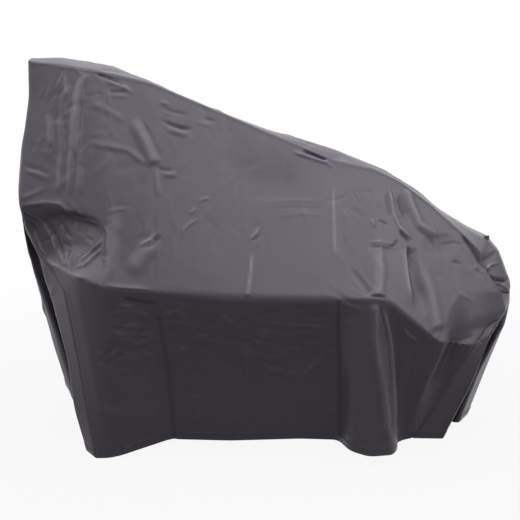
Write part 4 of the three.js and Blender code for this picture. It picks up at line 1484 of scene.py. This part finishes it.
@dataclass
class SmokerCover:
    """The whole cover: five panels sewn edge to edge, their top stitching and the corner seam tab."""

    cloth: float = CLOTH
    stitching: TopStitching = TopStitching()
    ear: SeamEar = SeamEar()
    panels: dict[str, Panel] = field(default_factory=dict)

    def cut(self) -> None:
        """Lays out the five panels in the shape in which they hang, and creases them."""
        front = upright_grid(FRONT_SECTIONS, ACROSS, FRONT_REACH)
        back = upright_grid(BACK_SECTIONS, ACROSS, FRONT_REACH)
        left = upright_grid(LEFT_SIDE_SECTIONS, DEEP, SIDE_REACH)
        right = upright_grid(RIGHT_SIDE_SECTIONS, DEEP, SIDE_REACH)
        strip = strip_grid(front, back, left, right)
        for panel in (
            Panel("front_panel", "panel_cloth", front, UPRIGHT_SEAMS, flat=(1.48, 1.26), area=1.31,
                  creases=with_scattered(FRONT_CREASES, *FRONT_FANS, *FRONT_CRUMPLES), inner_step=INNER_STEP),
            Panel("back_panel", "panel_cloth", back[::-1], UPRIGHT_SEAMS, flat=(1.47, 1.09), area=1.20,
                  creases=with_scattered(BACK_CREASES, BACK_CRUMPLE), inner_step=INNER_STEP),
            Panel("left_side_panel", "panel_cloth", left[::-1], UPRIGHT_SEAMS, flat=(0.54, 1.20), area=0.52,
                  plane=Plane.SIDE, creases=with_scattered(LEFT_SIDE_CREASES, LEFT_SIDE_CRUMPLE)),
            Panel("right_side_panel", "panel_cloth", right, UPRIGHT_SEAMS, flat=(0.62, 0.66), area=0.35,
                  plane=Plane.SIDE, creases=with_scattered(RIGHT_SIDE_CREASES, RIGHT_SIDE_CRUMPLE)),
            Panel("top_strip", "strip_cloth", strip, tuple(Edge), flat=(1.66, 0.36), area=0.34,
                  plane=Plane.TOP, creases=with_scattered(STRIP_CREASES, STRIP_CRUMPLE)),
        ):
            self.panels[panel.node] = panel
        for name, leans in self._leans({name: panel.base for name, panel in self.panels.items()}).items():
            self.panels[name].crease(leans)

    def _leans(self, grids: dict[str, np.ndarray]) -> dict[str, np.ndarray]:
        """Outward steps of all panels: their own normals, and one shared mitre where they meet.

        Args:
            grids: the grid of points of each panel.
        Returns:
            One step for each point; one unit of it moves a face by one unit.
        """
        around: dict[tuple, list[np.ndarray]] = {}
        leans = {name: grid_normals(grid) for name, grid in grids.items()}
        rims = {}
        for name, panel in self.panels.items():
            rim = np.ones(panel.base.shape[:2], bool)
            rim[1:-1, 1:-1] = False
            rounded = np.round(panel.base, MEETING_DIGITS)
            rims[name] = [(i, j, tuple(rounded[i, j])) for i, j in np.argwhere(rim)]
            for i, j, key in rims[name]:
                around.setdefault(key, []).append(leans[name][i, j].copy())
        for name in grids:
            for i, j, key in rims[name]:
                met = np.array(around[key])
                mean = unit(met.sum(axis=0))
                leans[name][i, j] = mean / max(float((met @ mean).mean()), MITRE_LIMIT)
        return leans

    def thicken(self) -> None:
        """Gives each panel its inner face, with one mitre along each seam."""
        for name, leans in self._leans({name: panel.outer for name, panel in self.panels.items()}).items():
            self.panels[name].draw_in()
            self.panels[name].thicken(leans, self.cloth)

    def _map(self, piece: bpy.types.Object, panel: Panel) -> None:
        """Lays the cloth's own map, in metres along its threads, and the creases' pale marks and painted
        shade on a piece.

        Args:
            piece: the piece.
            panel: the panel for which it stands.
        """
        across = np.stack([away_from(panel.outer, Edge.START), away_from(panel.outer, Edge.LOW)], -1)
        loops = np.empty(len(piece.data.loops), int)
        piece.data.loops.foreach_get("vertex_index", loops)
        layer = piece.data.uv_layers.new(name="cloth")
        layer.data.foreach_set("uv", panel.both(across)[loops].ravel())
        # pale marks along ridges, partly stress-whitened coating and partly painted highlight, and painted
        # shade in troughs
        wear_glint_and_shade = piece.data.attributes.new("wear_glint_and_shade", "FLOAT", "POINT")
        wear_glint_and_shade.data.foreach_set("value", panel.both(panel.wear_glint_and_shade))

    def _hand_over(self, panel: Panel, finishes: dict[str, bpy.types.Material]) -> None:
        """Makes a panel a closed sheet, maps it, and hands it to the frame.

        Args:
            panel: the finished panel.
            finishes: the material of each slot.
        """
        faces = panel.faces()
        piece = new_piece(panel.name, panel.vertices(), faces, finishes[panel.slot])
        self._map(piece, panel)
        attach(piece, "root")
        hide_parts(panel.node)
        LOG.info("%s: %d faces", panel.name, len(faces))

    def sew(self, finishes: dict[str, bpy.types.Material]) -> None:
        """Makes the five panels and the seam ear.

        Args:
            finishes: the material of each slot.
        """
        for panel in (*self.panels.values(), self.ear.panel(self.cloth)):
            self._hand_over(panel, finishes)

    def stitch(self, thread: bpy.types.Material) -> None:
        """Sews the double rows along the seams and the single row over the hem.

        Args:
            thread: finish of the stitches.
        """
        for node, lines in STITCHED_EDGES.items():
            for place, edge in lines:
                self.stitching.sew(self.panels[node], place, edge, thread)


# ---- The studio ------------------------------------------------------------------------------------------
def turn_to(thing: bpy.types.Object, aim: Vector) -> None:
    """Turns a lamp or a camera so that it points at a place."""
    thing.rotation_euler = (aim - thing.location).to_track_quat("-Z", "Y").to_euler()


@dataclass(frozen=True)
class SoftBox:
    """A rectangular lamp that points at the cover."""

    name: str
    place: Point
    size: Spot
    power: float
    aim: Point = (0.0, 0.0, 0.5)

    def hang(self) -> None:
        """Puts the lamp in the scene."""
        lamp = bpy.data.lights.new(self.name, "AREA")
        lamp.shape = "RECTANGLE"
        lamp.size, lamp.size_y = self.size
        lamp.energy = self.power
        holder = put(self.name, lamp)
        holder.location = self.place
        turn_to(holder, Vector(self.aim))


@dataclass
class Studio:
    """Pale floor, white surroundings, soft lamps and the camera.

    The camera's place and aim count from the middle of the cover. The floor takes on its glow, from the first
    share to the second, between the two distances of the glow's spread.
    """

    camera_back: float = 3.86
    camera_up: float = 0.748
    camera_aside: float = -0.013
    aim_up: float = -0.047
    aim_back: float = 0.04
    lens: float = 89.8
    floor_size: float = 60.0
    floor_tone: float = 0.22
    floor_glow: Spot = (0.92, 1.0)
    glow_spread: Spot = (1.0, 2.6)
    room_tone: float = 0.08
    lamps: tuple[SoftBox, ...] = (
        SoftBox("overhead", place=(0.15, 0.1, 3.2), size=(4.6, 3.4), power=137.0),
        SoftBox("upper_left", place=(-2.6, -0.5, 2.9), size=(2.2, 2.4), power=56.0),
        SoftBox("upper_right", place=(2.8, -0.4, 2.7), size=(2.2, 2.4), power=52.0),
    )

    def camera(self) -> None:
        """Sets the camera in front of the cover, a little above its middle."""
        low, high = (Vector(corner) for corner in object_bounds())
        middle = (low + high) / 2
        data = bpy.data.cameras.new("camera")
        data.lens = self.lens
        camera = put("camera", data)
        camera.location = middle + Vector((self.camera_aside, -self.camera_back, self.camera_up))
        turn_to(camera, middle + Vector((self.camera_aside, self.aim_back, self.aim_up)))
        bpy.context.scene.camera = camera

    def _seen(self, desk: NodeDesk) -> Socket:
        """One where the surroundings are seen, directly or mirrored, and zero where they light.

        Args:
            desk: the desk of the material or the world.
        Returns:
            One or zero.
        """
        path = desk.add("LightPath")
        seen = desk.maths("ADD", path.outputs["Is Camera Ray"], path.outputs["Is Glossy Ray"])
        return desk.maths("MINIMUM", desk.maths("ADD", seen, path.outputs["Is Transmission Ray"]), 1.0)

    def room(self) -> None:
        """Makes the surroundings white to look at and dim as a light."""
        world = bpy.data.worlds.new("room")
        bpy.context.scene.world = world
        world.use_nodes = True
        desk = NodeDesk(world.node_tree)
        dim = desk.add("Background", Color=WHITE, Strength=self.room_tone)
        white = desk.add("Background", Color=WHITE, Strength=1.0)
        desk.finish_mixed(self._seen(desk), dim, white, "OutputWorld")

    def floor(self) -> None:
        """Lays a pale floor that keeps the cover's soft shadow and turns white away from it."""
        bpy.ops.object.select_all(action="DESELECT")
        bpy.ops.mesh.primitive_plane_add(size=self.floor_size, location=(0, 0, 0))
        floor = bpy.context.object
        floor.name = "studio_floor"
        material, desk = new_material("studio_floor")
        distance = desk.add("VectorMath", operation="LENGTH")
        desk.wire(desk.add("TexCoord").outputs["Object"], distance, 0)
        spread = desk.add("MapRange", interpolation_type="SMOOTHSTEP")
        for index, value in enumerate((distance.outputs["Value"], *self.glow_spread, *self.floor_glow)):
            desk.feed(spread, index, value)
        share = desk.maths("MULTIPLY", self._seen(desk), spread.outputs[0])
        plain = desk.add("BsdfDiffuse", Color=(self.floor_tone,) * 3 + (1,))
        glow = desk.add("Emission", Color=WHITE, Strength=1.0)
        desk.finish_mixed(share, plain, glow, "OutputMaterial")
        floor.data.materials.append(material)
        floor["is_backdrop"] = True

    def build(self) -> None:
        """Sets up everything around the cover."""
        self.camera()
        self.room()
        self.floor()
        for lamp in self.lamps:
            lamp.hang()
        bpy.context.scene.view_settings.view_transform = "Standard"


def corners(box: Sequence[Sequence[float]]) -> list[list[float]]:
    """The two corners of a box as plain lists of numbers."""
    return [[float(value) for value in corner] for corner in box]


def main() -> None:
    """Builds the studio and the cover."""
    logging.basicConfig(level=logging.INFO, format="%(name)s: %(message)s")
    cad_box = corners(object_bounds())
    Studio().build()
    cover = SmokerCover()
    cover.cut()
    cover.thicken()
    cover.sew({"panel_cloth": PANEL_CLOTH.material(), "strip_cloth": STRIP_CLOTH_LIT_COPY.material()})
    cover.stitch(THREAD.material())
    {"cad": cad_box, "visual": corners(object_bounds())}


if __name__ == "__main__":
    main()
